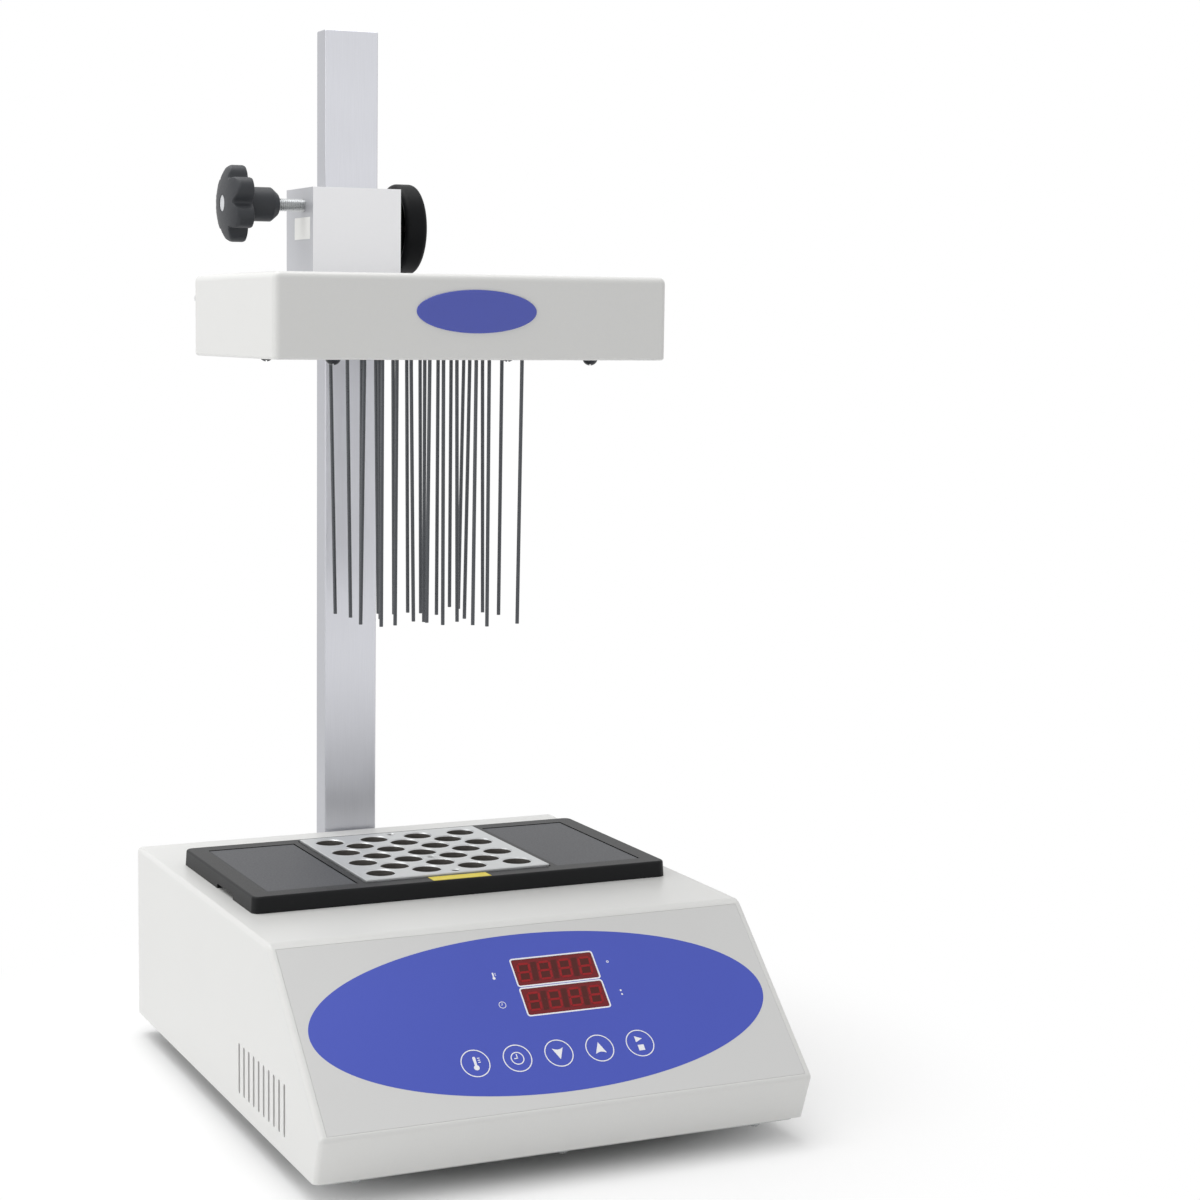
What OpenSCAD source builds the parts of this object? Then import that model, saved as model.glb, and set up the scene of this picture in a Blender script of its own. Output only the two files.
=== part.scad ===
// Nitrogen sample evaporator: a wedge shaped heater base with a control panel and a
// 25-well block, and a needle head that a rack and pinion lifts on a rear column.
// X is right, Y is back, Z is up. The origin is on the bench, in the middle of the
// machine's width and of its depth from the nose to the back of the hand wheel.

/* [Base housing] */
// Width of the base
base_w = 210; // [190:1:240]
// Depth of the base, nose to rear edge
base_d = 250; // [235:1:280]
// Height of the housing, above its lower edge
base_h = 78; // [74:1:95]
// Depth of the flat top, from the rear edge forward
top_d = 187.5; // [180:0.5:195]
// Height of the nose above the housing's lower edge
nose_h = 19; // [15:1:26]
// How far the lower edge lies behind the nose
lip_set = 7; // [3:0.5:12]
// Thickness of the folded sheet
sheet_t = 1.5; // [1.2:0.1:2]
// Radius of the bend between top and slope
brow_r = 6; // [3:0.5:7]
// Radius of the bend at the nose
nose_r = 2.2; // [1.8:0.1:2.6]
// Width of the folded-in lower flanges
flange_w = 11; // [10:0.5:14]
// Thickness of the bottom plate
bottom_t = 1.5; // [1:0.1:2.5]
// How far the bottom plate's edge lies inside the housing's
bottom_inset = 3; // [2:0.5:4]
// Thickness of the rear panel
rear_t = 2; // [1.5:0.1:2.5]
// Height of a rubber foot
foot_h = 8; // [6:0.5:14]
// Diameter of a rubber foot at the bench
foot_d = 20; // [16:1:24]
// Distance of a foot's centre from the base's edges
foot_inset = 42; // [38:1:48]

/* [Side vents] */
// Slots in each side wall
vent_count = 10; // [6:1:12]
// Distance between slots
vent_pitch = 6.3; // [5:0.1:7]
// Height of a slot
vent_h = 21; // [15:1:26]
// Width of a slot
vent_w = 2; // [1.5:0.1:3]
// Height of the slots' lower ends above the housing's lower edge
vent_z = 7.7; // [6:0.1:12]
// Distance from the nose to the first slot
vent_y = 41; // [38:0.5:48]

/* [Control panel] */
// Thickness of the printed overlay
overlay_t = 0.6; // [0.4:0.1:0.8]
// Margin between the overlay and the housing's side faces
overlay_side = 3; // [2:0.5:6]
// Width of a display window
window_w = 35.6; // [34:0.1:38]
// Height of a display window
window_h = 12; // [11.5:0.1:13]
// Centre of the windows, to the right of the middle
window_x = 10.8; // [0:0.1:20]
// Distance from the brow down the slope to the upper window's centre
window_s = 24.3; // [20:0.1:26]
// Distance between the windows' centres
window_pitch = 13.5; // [13.1:0.1:15]
// Diameter of a key
key_d = 11.2; // [9:0.1:12]
// Distance between keys
key_pitch = 17.75; // [15:0.05:19]
// Distance from the brow down the slope to the keys
key_s = 61.8; // [58:0.1:66]
// Travel of a key
key_travel = 0.4; // [0.2:0.05:0.5]
// Distance from the slope's outer face to the control board
board_drop = 12; // [11:0.5:15]

/* [Heating block] */
// Wells in the longer rows
well_cols = 4; // [3:1:4]
// Distance between wells in a row
well_pitch = 21.2; // [20:0.1:22]
// Diameter of a well
well_d = 12.4; // [10:0.1:13]
// Depth of a well
well_depth = 42; // [30:1:45]
// Distance from the outermost wells' centres to the block's edge
block_edge = 10.7; // [9:0.1:12]
// Height of the block
block_h = 50; // [48:1:52]
// How far the block stands proud of the surround
block_proud = 1; // [0.5:0.1:3]
// Place of the block's centre behind the housing's centre
work_set = 36.5; // [32:0.5:38]
// Diameter of a lifting hole
lift_hole_d = 3.5; // [3:0.1:4]
// Clearance around the block
block_gap = 0.6; // [0.4:0.1:1]
// Thickness of the heater well's wall
cup_t = 2; // [1.5:0.1:2.5]

/* [Top surround] */
// Width of the black surround
frame_w = 190; // [186:1:196]
// Depth of the black surround
frame_d = 100; // [98:1:106]
// Height of the black surround
frame_h = 7; // [6:0.5:9]
// Thickness of the surround's top and skirt
frame_t = 2.8; // [2.4:0.1:3.2]
// How far the surround's centre lies ahead of the block's
frame_set = 1.7; // [0:0.1:3]
// Margin around the cover plates
frame_rim = 8.8; // [7:0.1:10]
// Thickness of a cover plate
cover_t = 1; // [0.8:0.1:1.2]

/* [Column] */
// Width of the column
col_w = 26; // [24:1:30]
// Depth of the column
col_d = 12; // [10:0.5:14]
// Height of the column's top above the bench
col_top = 461.5; // [455:0.5:500]
// Thickness of the spacer between column and rear panel
spacer_t = 3; // [2:0.5:6]

/* [Lift] */
// Module of the rack and pinion
gear_m = 1; // [0.9:0.05:1.1]
// Teeth of the pinion
gear_n = 12; // [12:2:14]
// Width of the rack
rack_w = 8; // [6:0.5:10]
// Width of the collar
collar_w = 43.2; // [42:0.2:50]
// Height of the collar
collar_h = 72; // [64:1:80]
// Height of the collar's top above the bench, as stored
collar_top = 389.5; // [385:0.5:395]
// Thickness of the collar's front wall, liner excluded
collar_front = 6.35; // [5:0.05:8]
// Thickness of the collar's rear cover
collar_rear = 11.5; // [10:0.5:14]
// Sliding gap between the column and the liners
guide_gap = 0.15; // [0.1:0.05:0.25]
// Thickness of the liners
liner_t = 1; // [0.8:0.1:1.5]
// Travel of the head below its stored height
lift_down = 140; // [100:1:140]
// Travel of the head above its stored height
lift_up = 50; // [30:1:55]
// Distance from the collar's top down to the pinion shaft
shaft_drop = 17.5; // [16:0.5:20]
// Diameter of the pinion shaft
shaft_d = 6; // [5:0.5:6]
// Diameter of the hand wheel
wheel_d = 42.6; // [38:0.2:46]
// Width of the hand wheel's rim
wheel_w = 11; // [9:0.5:14]

/* [Lock] */
// Diameter of the lock screw
stud_d = 6; // [5:0.5:6]
// Distance from the collar's top down to the lock screw
stud_drop = 8; // [7:0.5:8.5]
// Length of the lock screw that shows
stud_show = 13; // [10:0.5:20]
// Overall diameter of the lobed knob
knob_d = 35; // [32:0.5:40]
// Thickness of the knob's lobes
knob_t = 11; // [9:0.5:14]
// Length of the knob's hub
knob_hub_l = 15.5; // [10:0.5:20]
// Gap between the lock pad and the column, as stored
pad_gap = 0.35; // [0.3:0.05:0.5]

/* [Needle head] */
// Width of the head
head_w = 175.2; // [168:0.2:190]
// Distance from the needles' centre to the head's front
head_front = 57; // [52:0.5:62]
// Distance from the needles' centre to the head's back
head_back = 53; // [50:0.5:56]
// Height of the head
head_h = 35; // [34:0.5:40]
// Height of the head's underside above the bench, as stored
head_z = 313; // [310:0.5:315]
// Thickness of the head's shell
shell_t = 2.5; // [2:0.1:3]
// Radius of the head's upright edges
shell_r = 3; // [2:0.5:4]
// Outer diameter of a needle
needle_d = 1.6; // [1.2:0.1:2]
// Bore of a needle
needle_bore = 1; // [0.6:0.1:1]
// Length of a needle
needle_l = 130; // [120:1:133]
// Height of the needle tips above the bench, as stored
tip_z = 197.5; // [195:0.5:200]
// Width of the badge on the head's front
badge_w = 53.5; // [40:0.5:60]
// Height of the badge
badge_h = 17.7; // [12:0.1:22]
// Diameter of the gas inlet's hose barb
barb_d = 6.5; // [6:0.1:7]
// Length of the gas inlet outside the head
barb_l = 20; // [16:0.5:26]

/* [Hidden] */

$fn = 48;
cut = 1; // how far a cutter runs past a face
slip = 0.1; // gap of parts that are fitted together

// ---- base values ----
z0 = foot_h + bottom_t; // height of the housing's lower edge
gear_r = gear_m * gear_n / 2;
rack_proud = 0.5; // pitch line of the rack behind the column's back
reach = spacer_t + col_d + rack_proud + gear_r + wheel_d / 2; // hand wheel behind the base
front_y = -(base_d + reach) / 2;
back_y = front_y + base_d;
mid_y = front_y + base_d / 2;
work_y = mid_y + work_set;
frame_y = work_y - frame_set;
top_z = z0 + base_h;
rear_y = back_y - rear_t; // inner face of the rear panel
side_x = base_w / 2 - sheet_t; // inner face of a side wall
brow_y = back_y - top_d;
brow = [brow_y, base_h];
nose = [front_y, nose_h];
lip = [front_y + lip_set, 0];
slope_a = atan2(base_h - nose_h, brow_y - front_y);
slope_l = norm(brow - nose);
slope_u = (nose - brow) / slope_l;
slope_n = [-slope_u[1], slope_u[0]];
lip_u = (lip - nose) / norm(lip - nose);
lip_n = [-lip_u[1], lip_u[0]];

// Where the lines p + s u and q + t v cross
function cross2(u, v) = u[0] * v[1] - u[1] * v[0];
function meet(p, u, q, v) = p + u * cross2(q - p, v) / cross2(u, v);

// Points of a round corner at b, between a and c
function corner(a, b, c, r, n = 8) =
    let (u = (a - b) / norm(a - b), v = (c - b) / norm(c - b),
         half = acos(u * v) / 2, t = r / tan(half),
         m = (u + v) / norm(u + v), o = b + m * r / sin(half),
         p = b + u * t - o, q = b + v * t - o, turn = 180 - 2 * half,
         way = sign(cross2(p, q)))
    [for (i = [0 : n]) let (w = way * turn * i / n)
        o + [p[0] * cos(w) - p[1] * sin(w), p[0] * sin(w) + p[1] * cos(w)]];

function quad_y(w, y) = [for (a = [-1, 1], b = [-1, 1]) [a * w, b * y]];

// A plate with round corners, centred in X and Y
module round_plate(w, d, h, r) {
    translate([-w / 2 + r, -d / 2, 0]) cube([w - 2 * r, d, h]);
    translate([-w / 2, -d / 2 + r, 0]) cube([w, d - 2 * r, h]);
    for (p = quad_y(w / 2 - r, d / 2 - r)) translate([p[0], p[1], 0]) cylinder(r = r, h = h);
}
// A box centred in X and Y, standing on z = 0
module block(w, d, h) {
    translate([-w / 2, -d / 2, 0]) cube([w, d, h]);
}
// A cylinder along +X, and one along +Y
module rod_x(d, l) {
    rotate([0, 90, 0]) cylinder(d = d, h = l);
}
module rod_y(d, l) {
    rotate([-90, 0, 0]) cylinder(d = d, h = l);
}
// Children in the slope's own frame: X right, Y up the slope, Z out of it
module on_slope() {
    translate([0, brow_y, top_z]) rotate([slope_a, 0, 0]) children();
}
// An outline in the YZ plane, drawn out along X
module along_x(w) {
    translate([-w / 2, 0, 0]) rotate([90, 0, 90]) linear_extrude(height = w) children();
}

// ---- panel values ----
overlay_w = base_w - 2 * overlay_side;
overlay_top = brow_r * tan(slope_a / 2) + 0.1;
overlay_end = slope_l - nose_r * 0.66 - 0.1;
key_x = [for (i = [-2 : 2]) i * key_pitch];
key_gap = 0.3; // clearance around a key
windows_s = [window_s, window_s + window_pitch];
window_mid = window_s + window_pitch / 2;
stem_d = 4;
switch_w = 8;
switch_h = board_drop - 5;
board_w = 110;
board_l = 66;
board_s = 44; // board centre down the slope
board_t = 1.6;
board_hole = [board_w / 2 - 4, board_l / 2 - 4];

// ---- block values ----
well_rows = 2 * well_cols - 1;
block_w = (well_cols - 1) * well_pitch + 2 * block_edge;
block_top = top_z + frame_h + block_proud;
block_z = block_top - block_h;
row_pitch = well_pitch / 2; // the wells stand on a square grid turned by 45 degrees
function row_n(k) = well_cols - k % 2;
wells = [for (k = [0 : well_rows - 1], j = [0 : row_n(k) - 1])
    [(j - (row_n(k) - 1) / 2) * well_pitch, ((well_rows - 1) / 2 - k) * row_pitch]];
lift_holes = [-block_w / 2 + 4, -row_pitch, block_w / 2 - 4];
cup_in = block_w + 2 * block_gap;
cup_out = cup_in + 2 * cup_t;
cup_flange = cup_out + 10; // width over the flanges the well hangs by
cup_flange_t = 1.2;
rest_gap = 0.05; // under a part that stands loose on another
cup_floor = block_z - cup_t - rest_gap;
plate_w = block_w - 5;
plate_t = 8;
mat_t = 2;
mat_z = cup_floor - plate_t - mat_t;
wool_t = 9;
wool_in = cup_out + 1;
wool_out = wool_in + 2 * wool_t;
wool_z = mat_z - wool_t;
housing_hole = cup_out + 3;

// ---- surround values ----
frame_r = 3.5;
notch_y = work_y - 24;
frame_top = top_z + frame_h;
pocket_w = frame_w - 2 * frame_rim;
pocket_d = frame_d - 2 * frame_rim;
cover_gap = 0.35;
bar_w = 3; // bar of the surround beside the block
cover_x1 = cup_in / 2 + bar_w;
cover_x2 = pocket_w / 2;

// ---- column and collar values ----
col_y1 = back_y + spacer_t;
col_y2 = col_y1 + col_d;
col_z = z0 + 4;
col_mid = col_y1 + col_d / 2;
rack_in = 2.5; // depth of the rack's groove
pinion_add = 0.8 * gear_m;
rack_add = 0.7 * gear_m;
gear_ded = 1.25 * gear_m;
backlash = 0.25;
shaft_y = col_y2 + rack_proud + gear_r;
rack_line = shaft_y - gear_r; // pitch line of the rack
shaft_z = collar_top - shaft_drop;
rack_z1 = shaft_z - lift_down - 10;
rack_z2 = shaft_z + lift_up + 10;
slot_w = col_w + 2 * (guide_gap + liner_t);
slot_y = col_y1 - guide_gap - liner_t;
collar_y1 = slot_y - collar_front;
seam_y = shaft_y;
collar_y2 = seam_y + collar_rear;
collar_z = collar_top - collar_h;
bush_d = 10;
bush_flange = 13;
bush_flange_t = 1.5;
wheel_x1 = collar_w / 2 + bush_flange_t + 3.4;
wheel_hub_x = collar_w / 2 + bush_flange_t + 0.3;
wheel_x2 = wheel_x1 + wheel_w;
stud_z = collar_top - stud_drop;
knob_x = -collar_w / 2 - stud_show; // hub face of the knob
knob_out = knob_x - knob_hub_l - knob_t;
pad_x = -col_w / 2 - pad_gap;
pad_l = 3;
pad_d = stud_d;
collar_screw = [collar_w / 2 - 5, 8];

// ---- head values ----
head_y1 = work_y - head_front;
head_y2 = work_y + head_back;
head_mid = (head_y1 + head_y2) / 2;
head_d = head_y2 - head_y1;
head_top = head_z + head_h;
floor_t = 2; // head's bottom plate
chamber_w = 84;
chamber_z = head_z + floor_t;
chamber_floor = 8;
chamber_h = 16;
chamber_wall = 4;
lid_t = 3;
lid_z = chamber_z + chamber_h;
seal_t = 2;
arm_w = 34;
arm_z = head_z + 4;
arm_h = 22;
tongue_t = 5;
tongue_l = 28;
arm_front = work_y + chamber_w / 2;
inlet_x = -head_w / 2 + 8.6;
inlet_z = lid_z + lid_t + 4;
tube_d = 6;
tube_bend = 8;
tube_y = work_y + 24; // where the tube turns to the chamber
port_x = -28;
boss_x = 58;
boss_y = [head_y1 + 13, head_y2 - 11];
boss_d = 8;
head_screw = [3, 10, 6.4, 2.4]; // shank, length, head and head's height

// ---- rear fittings ----
rear_inset = 39; // from the base's sides to the fittings' middles
inlet_cx = base_w / 2 - rear_inset;
inlet_w = 30;
inlet_hh = 48;
socket_w = 24.6;
socket_h = 17;
socket_depth = 17;
inlet_cz = z0 + base_h / 2;
socket_z = inlet_cz - 9;
drawer_w = 22;
drawer_h = 11;
drawer_z = inlet_cz + 14.5;
inlet_depth = 24;
flange_t = 3;
switch_cx = -inlet_cx;
rocker_w = 14.4;
rocker_h = 22;
rocker_back = 6;
switch_fw = 22;
switch_fh = 30;
switch_cz = inlet_cz;

// ================= base =================
module screw_down(d, l, head_d, head_h) {
    cylinder(d = d, h = l);
    translate([0, 0, -head_h]) cylinder(d = head_d, h = head_h);
}
bottom_front_y = front_y + lip_set + bottom_inset + 3.5;
bottom_back_y = back_y - 7;
bottom_x = base_w / 2 - 19;
bottom_points = [for (x = [-bottom_x, 0, bottom_x], y = [bottom_front_y, bottom_back_y]) [x, y],
    for (x = [-1, 1], y = [front_y + 31, mid_y + 20]) [x * (side_x - flange_w / 2), y]];
foot_points = [for (p = quad_y(base_w / 2 - foot_inset, base_d / 2 - foot_inset)) p + [0, mid_y]];
bottom_hole = 3.2;
bottom_screw_l = 6;
bottom_head = [5.6, 2.2]; // diameter and height
foot_seat = 2.5; // depth of a foot's counterbore
foot_screw_l = 8;
foot_head = [5.6, 2];

module housing_outline(i, past) {
    // i is how far inside the outer face; past opens the rear and the bottom
    a = meet([0, base_h - i], [1, 0], brow + slope_n * i, slope_u);
    b = meet(brow + slope_n * i, slope_u, nose + lip_n * i, lip_u);
    c = meet(nose + lip_n * i, lip_u, [0, -past], [1, 0]);
    back = [back_y + past, base_h - i];
    polygon(concat([[back_y + past, -past], back],
        corner(back, a, b, max(brow_r - i, 0.5)), corner(a, b, c, max(nose_r - i, 0.5)), [c]));
}
module vent(h) {
    // an upright slot with round ends, cut along X
    translate([0, 0, vent_w / 2]) rod_x(vent_w, h);
    translate([0, -vent_w / 2, vent_w / 2]) cube([h, vent_w, vent_h - vent_w]);
    translate([0, 0, vent_h - vent_w / 2]) rod_x(vent_w, h);
}
module base_housing() {
    color("#dededd") difference() {
        union() {
            translate([0, 0, z0]) difference() {
                along_x(base_w) housing_outline(0, 0);
                along_x(base_w - 2 * sheet_t) housing_outline(sheet_t, cut);
            }
            for (s = [-1, 1]) translate([s * (side_x - flange_w / 2), mid_y + lip_set / 2, z0])
                block(flange_w, base_d - lip_set - 2 * sheet_t, sheet_t);
            translate([0, front_y + lip_set + flange_w / 2 + sheet_t / 2, z0]) block(2 * side_x, flange_w, sheet_t);
        }
        // holes of the bottom screws
        for (p = bottom_points) translate([p[0], p[1], z0 - cut])
            cylinder(d = bottom_hole, h = sheet_t + 2 * cut);
        // side vents
        for (s = [-1, 1], i = [0 : vent_count - 1])
            translate([s * base_w / 2 - 3, front_y + vent_y + i * vent_pitch, z0 + vent_z]) vent(6);
        // opening for the heater well
        translate([0, work_y, top_z - 2 * sheet_t]) block(housing_hole, housing_hole, 3 * sheet_t);
        on_slope() {
            // shallow seat of the overlay
            translate([-overlay_w / 2 - slip, -overlay_end, -overlay_t])
                cube([overlay_w + 2 * slip, overlay_end - overlay_top, overlay_t + cut]);
            for (s = windows_s) translate([window_x, -s, -2 * sheet_t])
                block(window_w - 1, window_h - 1, 3 * sheet_t);
            for (x = key_x) translate([x, -key_s, -2 * sheet_t])
                cylinder(d = key_d + 2 * key_gap, h = 3 * sheet_t);
        }
    }
}
panel_z = z0 + sheet_t + slip;
panel_h = base_h - 2 * sheet_t - 2 * slip;
panel_foot_w = 2 * (side_x - flange_w - 0.4);
module rear_panel() {
    color("#d6d6d4") difference() {
        union() {
            translate([-side_x + slip, rear_y, panel_z]) cube([2 * (side_x - slip), rear_t, panel_h]);
            // foot of the panel, between the housing's side flanges
            translate([0, rear_y + rear_t / 2, z0]) block(panel_foot_w, rear_t, 2 * sheet_t);
            translate([0, rear_y - 6 + cut / 2, z0]) block(panel_foot_w, 12 + cut, sheet_t);
        }
        for (x = [-bottom_x, 0, bottom_x]) translate([x, bottom_back_y, z0 - cut])
            cylinder(d = bottom_hole, h = sheet_t + 2 * cut);
        translate([inlet_cx, rear_y + rear_t / 2, inlet_cz - inlet_hh / 2 + 2.5])
            block(inlet_w - 3, rear_t + 2 * cut, inlet_hh - 5);
        translate([switch_cx, rear_y + rear_t / 2, switch_cz - switch_fh / 2 + 1.5])
            block(switch_fw - 3, rear_t + 2 * cut, switch_fh - 3);
        for (z = column_screw_z) translate([0, rear_y - cut, z]) rod_y(5.6, rear_t + 2 * cut);
        for (p = spacer_screws) translate([p[0], rear_y - cut, p[1]]) rod_y(4.2, rear_t + 2 * cut);
        // rear vents
        for (s = [-1, 1], i = [0 : 5])
            translate([s * 36 + (i - 2.5) * 2.6, rear_y - cut, z0 + base_h - 18])
                translate([-0.6, 0, 0]) cube([1.2, rear_t + 2 * cut, 10]);
    }
}
plate_front = front_y + lip_set + bottom_inset;
plate_back = back_y - 1;
module bottom_plate() {
    color("#c9c9c8") difference() {
        translate([0, (plate_front + plate_back) / 2, foot_h])
            round_plate(base_w - 2 * bottom_inset, plate_back - plate_front, bottom_t, 2);
        for (p = concat(bottom_points, foot_points)) translate([p[0], p[1], foot_h - cut])
            cylinder(d = bottom_hole, h = bottom_t + 2 * cut);
        for (x = [-1, 1], i = [-7 : -2]) translate([x * 62 - 12, i * 9 + mid_y - 1.2, foot_h - cut])
            cube([24, 2.4, bottom_t + 2 * cut]);
    }
}
module bottom_screws() {
    color("#b9bab8") for (p = bottom_points) translate([p[0], p[1], foot_h])
        screw_down(bottom_hole - slip, bottom_screw_l, bottom_head[0], bottom_head[1]);
}
module rubber_feet() {
    color("#232426") for (p = foot_points) translate([p[0], p[1], 0]) difference() {
        rotate_extrude() polygon([[0, 0], [foot_d / 2 - 1, 0], [foot_d / 2, 1],
            [foot_d / 2 + 1, foot_h], [0, foot_h]]);
        translate([0, 0, -cut]) cylinder(d = foot_head[0] + 1.4, h = foot_h - foot_seat + cut);
        cylinder(d = bottom_hole, h = foot_h + cut);
    }
}
module foot_screws() {
    color("#b9bab8") for (p = foot_points) translate([p[0], p[1], foot_h - foot_seat])
        screw_down(bottom_hole - slip, foot_screw_l, foot_head[0], foot_head[1]);
}

// ================= control panel =================
module front_overlay() {
    color("#4a58b4") on_slope() difference() {
        translate([-overlay_w / 2, -overlay_end + slip, -overlay_t])
            cube([overlay_w, overlay_end - overlay_top - 2 * slip, overlay_t]);
        for (s = windows_s) translate([window_x, -s, -2 * overlay_t])
            block(window_w, window_h, 4 * overlay_t);
        for (x = key_x) translate([x, -key_s, -2 * overlay_t])
            cylinder(d = key_d + 2 * key_gap, h = 4 * overlay_t);
    }
}
module display_windows() {
    color("#6e1419") on_slope() for (s = windows_s) translate([window_x, -s, 0]) {
        translate([0, 0, -overlay_t]) block(window_w - 2 * slip, window_h - 2 * slip, overlay_t - slip);
        translate([0, 0, -overlay_t - 1.2]) block(window_w - 1.4, window_h - 1.4, 1.3);
    }
}
led_w = 30.1;
led_h = 12.6;
led_top = -overlay_t - 1.4;
module led_displays() {
    color("#2a1012") on_slope() for (s = windows_s) translate([window_x, -s, -board_drop])
        block(led_w, led_h, board_drop + led_top);
}
module control_board() {
    color("#2f6b45") on_slope() difference() {
        union() {
            translate([0, -board_s, -board_drop - board_t]) block(board_w, board_l, board_t);
            translate([-38, -26, -board_drop]) block(14, 14, 2.4);
            translate([44, -32, -board_drop]) block(10, 22, 6);
            for (x = [-1, 1]) translate([x * 44, -70, -board_drop - board_t - 5]) block(12, 6, 5);
        }
        for (p = quad_y(board_hole[0], board_hole[1])) translate([p[0], p[1] - board_s, -board_drop - 4])
            cylinder(d = 3.2, h = 8);
    }
}
module key_switches() {
    color("#3a3b3d") on_slope() for (x = key_x) translate([x, -key_s, -board_drop]) difference() {
        block(switch_w, switch_w, switch_h);
        translate([0, 0, 2]) cylinder(d = stem_d + 2 * key_gap, h = switch_h);
    }
}
module key(i) {
    // a membrane key: printed disc, button under it and stem in its switch
    color("#4a58b4") on_slope() translate([key_x[i], -key_s, 0]) {
        translate([0, 0, -overlay_t]) cylinder(d = key_d, h = overlay_t);
        translate([0, 0, -overlay_t - 1.8]) cylinder(d = key_d - 2, h = 1.9);
        translate([0, 0, -board_drop + 2 + key_travel + 0.3])
            cylinder(d = stem_d, h = board_drop - 2 - key_travel - 0.3 - overlay_t);
    }
}
module key_temp() { key(0); }
module key_time() { key(1); }
module key_down() { key(2); }
module key_up() { key(3); }
module key_start() { key(4); }

// ================= surround and heater =================
module top_frame() {
    color("#2b2c30") difference() {
        translate([0, frame_y, top_z]) round_plate(frame_w, frame_d, frame_h, frame_r);
        // hollow underside
        translate([0, frame_y, top_z - cut])
            round_plate(frame_w - 2 * frame_t, frame_d - 2 * frame_t, frame_h - frame_t + cut, 1.5);
        // opening for the block
        translate([0, work_y, top_z]) block(cup_in, cup_in, frame_h + cut);
        // pockets of the cover plates
        for (s = [-1, 1])
            translate([s * (cover_x1 + cover_x2) / 2, frame_y, frame_top - cover_t])
                block(cover_x2 - cover_x1, pocket_d, cover_t + cut);
        // notch in the left skirt
        translate([-frame_w / 2 - cut, notch_y, top_z - cut]) cube([frame_t + 2 * cut, 22, 2 + cut]);
    }
}
module cover_plate(s) {
    color("#5f6164") translate([s * (cover_x1 + cover_x2) / 2, frame_y, frame_top - cover_t])
        block(cover_x2 - cover_x1 - 2 * cover_gap, pocket_d - 2 * cover_gap, cover_t - 0.2);
}
module left_cover_plate() { cover_plate(-1); }
module right_cover_plate() { cover_plate(1); }

module heating_block() {
    color("#c8cacb") translate([0, work_y, block_z]) difference() {
        block(block_w, block_w, block_h);
        for (p = wells) translate([p[0], p[1], block_h - well_depth])
            cylinder(d = well_d, h = well_depth + cut);
        for (y = lift_holes) translate([0, y, block_h - 12]) cylinder(d = lift_hole_d, h = 12 + cut);
    }
}
module heater_well() {
    color("#9fa2a5") translate([0, work_y, cup_floor]) difference() {
        union() {
            block(cup_out, cup_out, top_z - cup_floor + cup_flange_t);
            translate([0, 0, top_z - cup_floor]) block(cup_flange, cup_out, cup_flange_t);
        }
        translate([0, 0, cup_t]) block(cup_in, cup_in, top_z);
    }
}
sensor_d = 4;
module heater_plate() {
    color("#b4b6b8") translate([0, work_y, cup_floor - plate_t]) difference() {
        block(plate_w, plate_w, plate_t);
        translate([-plate_w / 2 - cut, 0, plate_t / 2]) rod_x(sensor_d + 2 * slip, 30 + cut);
    }
}
module heater_mat() {
    color("#b5482f") translate([0, work_y, mat_z]) block(plate_w - 4, plate_w - 4, mat_t);
}
module temperature_sensor() {
    color("#aeb1b3") translate([-plate_w / 2 - 2, work_y, cup_floor - plate_t / 2]) rod_x(sensor_d, 30);
}
module insulation() {
    color("#d8cfae") translate([0, work_y, wool_z]) difference() {
        block(wool_out, wool_out, top_z - sheet_t - wool_z - 1);
        translate([0, 0, wool_t]) block(wool_in, wool_in, top_z);
    }
}
wool_edge = 10; // from the wool's sides to its pillars
wool_posts = quad_y(wool_out / 2 - wool_edge, wool_out / 2 - wool_edge);
psu_gap = 3.9; // between the wool and the board
psu_w = side_x - flange_w - wool_out / 2 - psu_gap;
psu_d = 92;
psu_edge = 4; // from the board's edges to its pillars
foot_clear = 6; // from a rear foot's screw to a pillar
psu_x = side_x - flange_w - psu_w / 2;
psu_y = mid_y + base_d / 2 - foot_inset - foot_clear - psu_d / 2 + psu_edge;
psu_z = z0 + sheet_t + 6;
psu_posts = quad_y(psu_w / 2 - psu_edge, psu_d / 2 - psu_edge);
coil = [psu_w - 6, 34, 26];
coil_y = coil[1] / 2 + 5 - psu_d / 2;
sink = [5, 26, 22];
capacitor = [12, 20];
part_y = coil_y + coil[1] / 2 + 8; // where the sink and the capacitor start
terminals = [psu_w - 10, 9, 9];
post_d = 6;
wool_post_d = 8;
module standoffs() {
    color("#c7c4b4") {
        for (p = wool_posts) translate([p[0], p[1] + work_y, z0])
            cylinder(d = wool_post_d, h = wool_z - z0);
        for (p = psu_posts) translate([psu_x + p[0], psu_y + p[1], z0])
            cylinder(d = post_d, h = psu_z - z0);
        // pillars from the slope to the control board
        on_slope() for (p = quad_y(board_hole[0], board_hole[1]))
            translate([p[0], p[1] - board_s, -board_drop]) cylinder(d = post_d, h = board_drop - sheet_t);
    }
}
module power_board() {
    color("#2f6b45") translate([psu_x, psu_y, psu_z]) {
        block(psu_w, psu_d, board_t);
        translate([0, coil_y, board_t]) block(coil[0], coil[1], coil[2]);
        translate([2 * sink[0] + 1 - psu_w / 2, part_y + sink[1] / 2, board_t])
            block(sink[0], sink[1], sink[2]);
        translate([psu_w / 2 - capacitor[0] / 2 - 2, part_y + sink[1] / 2 - 2, board_t])
            cylinder(d = capacitor[0], h = capacitor[1]);
        translate([0, psu_d / 2 - terminals[1] / 2 - 3.5, board_t])
            block(terminals[0], terminals[1], terminals[2]);
    }
}

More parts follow.
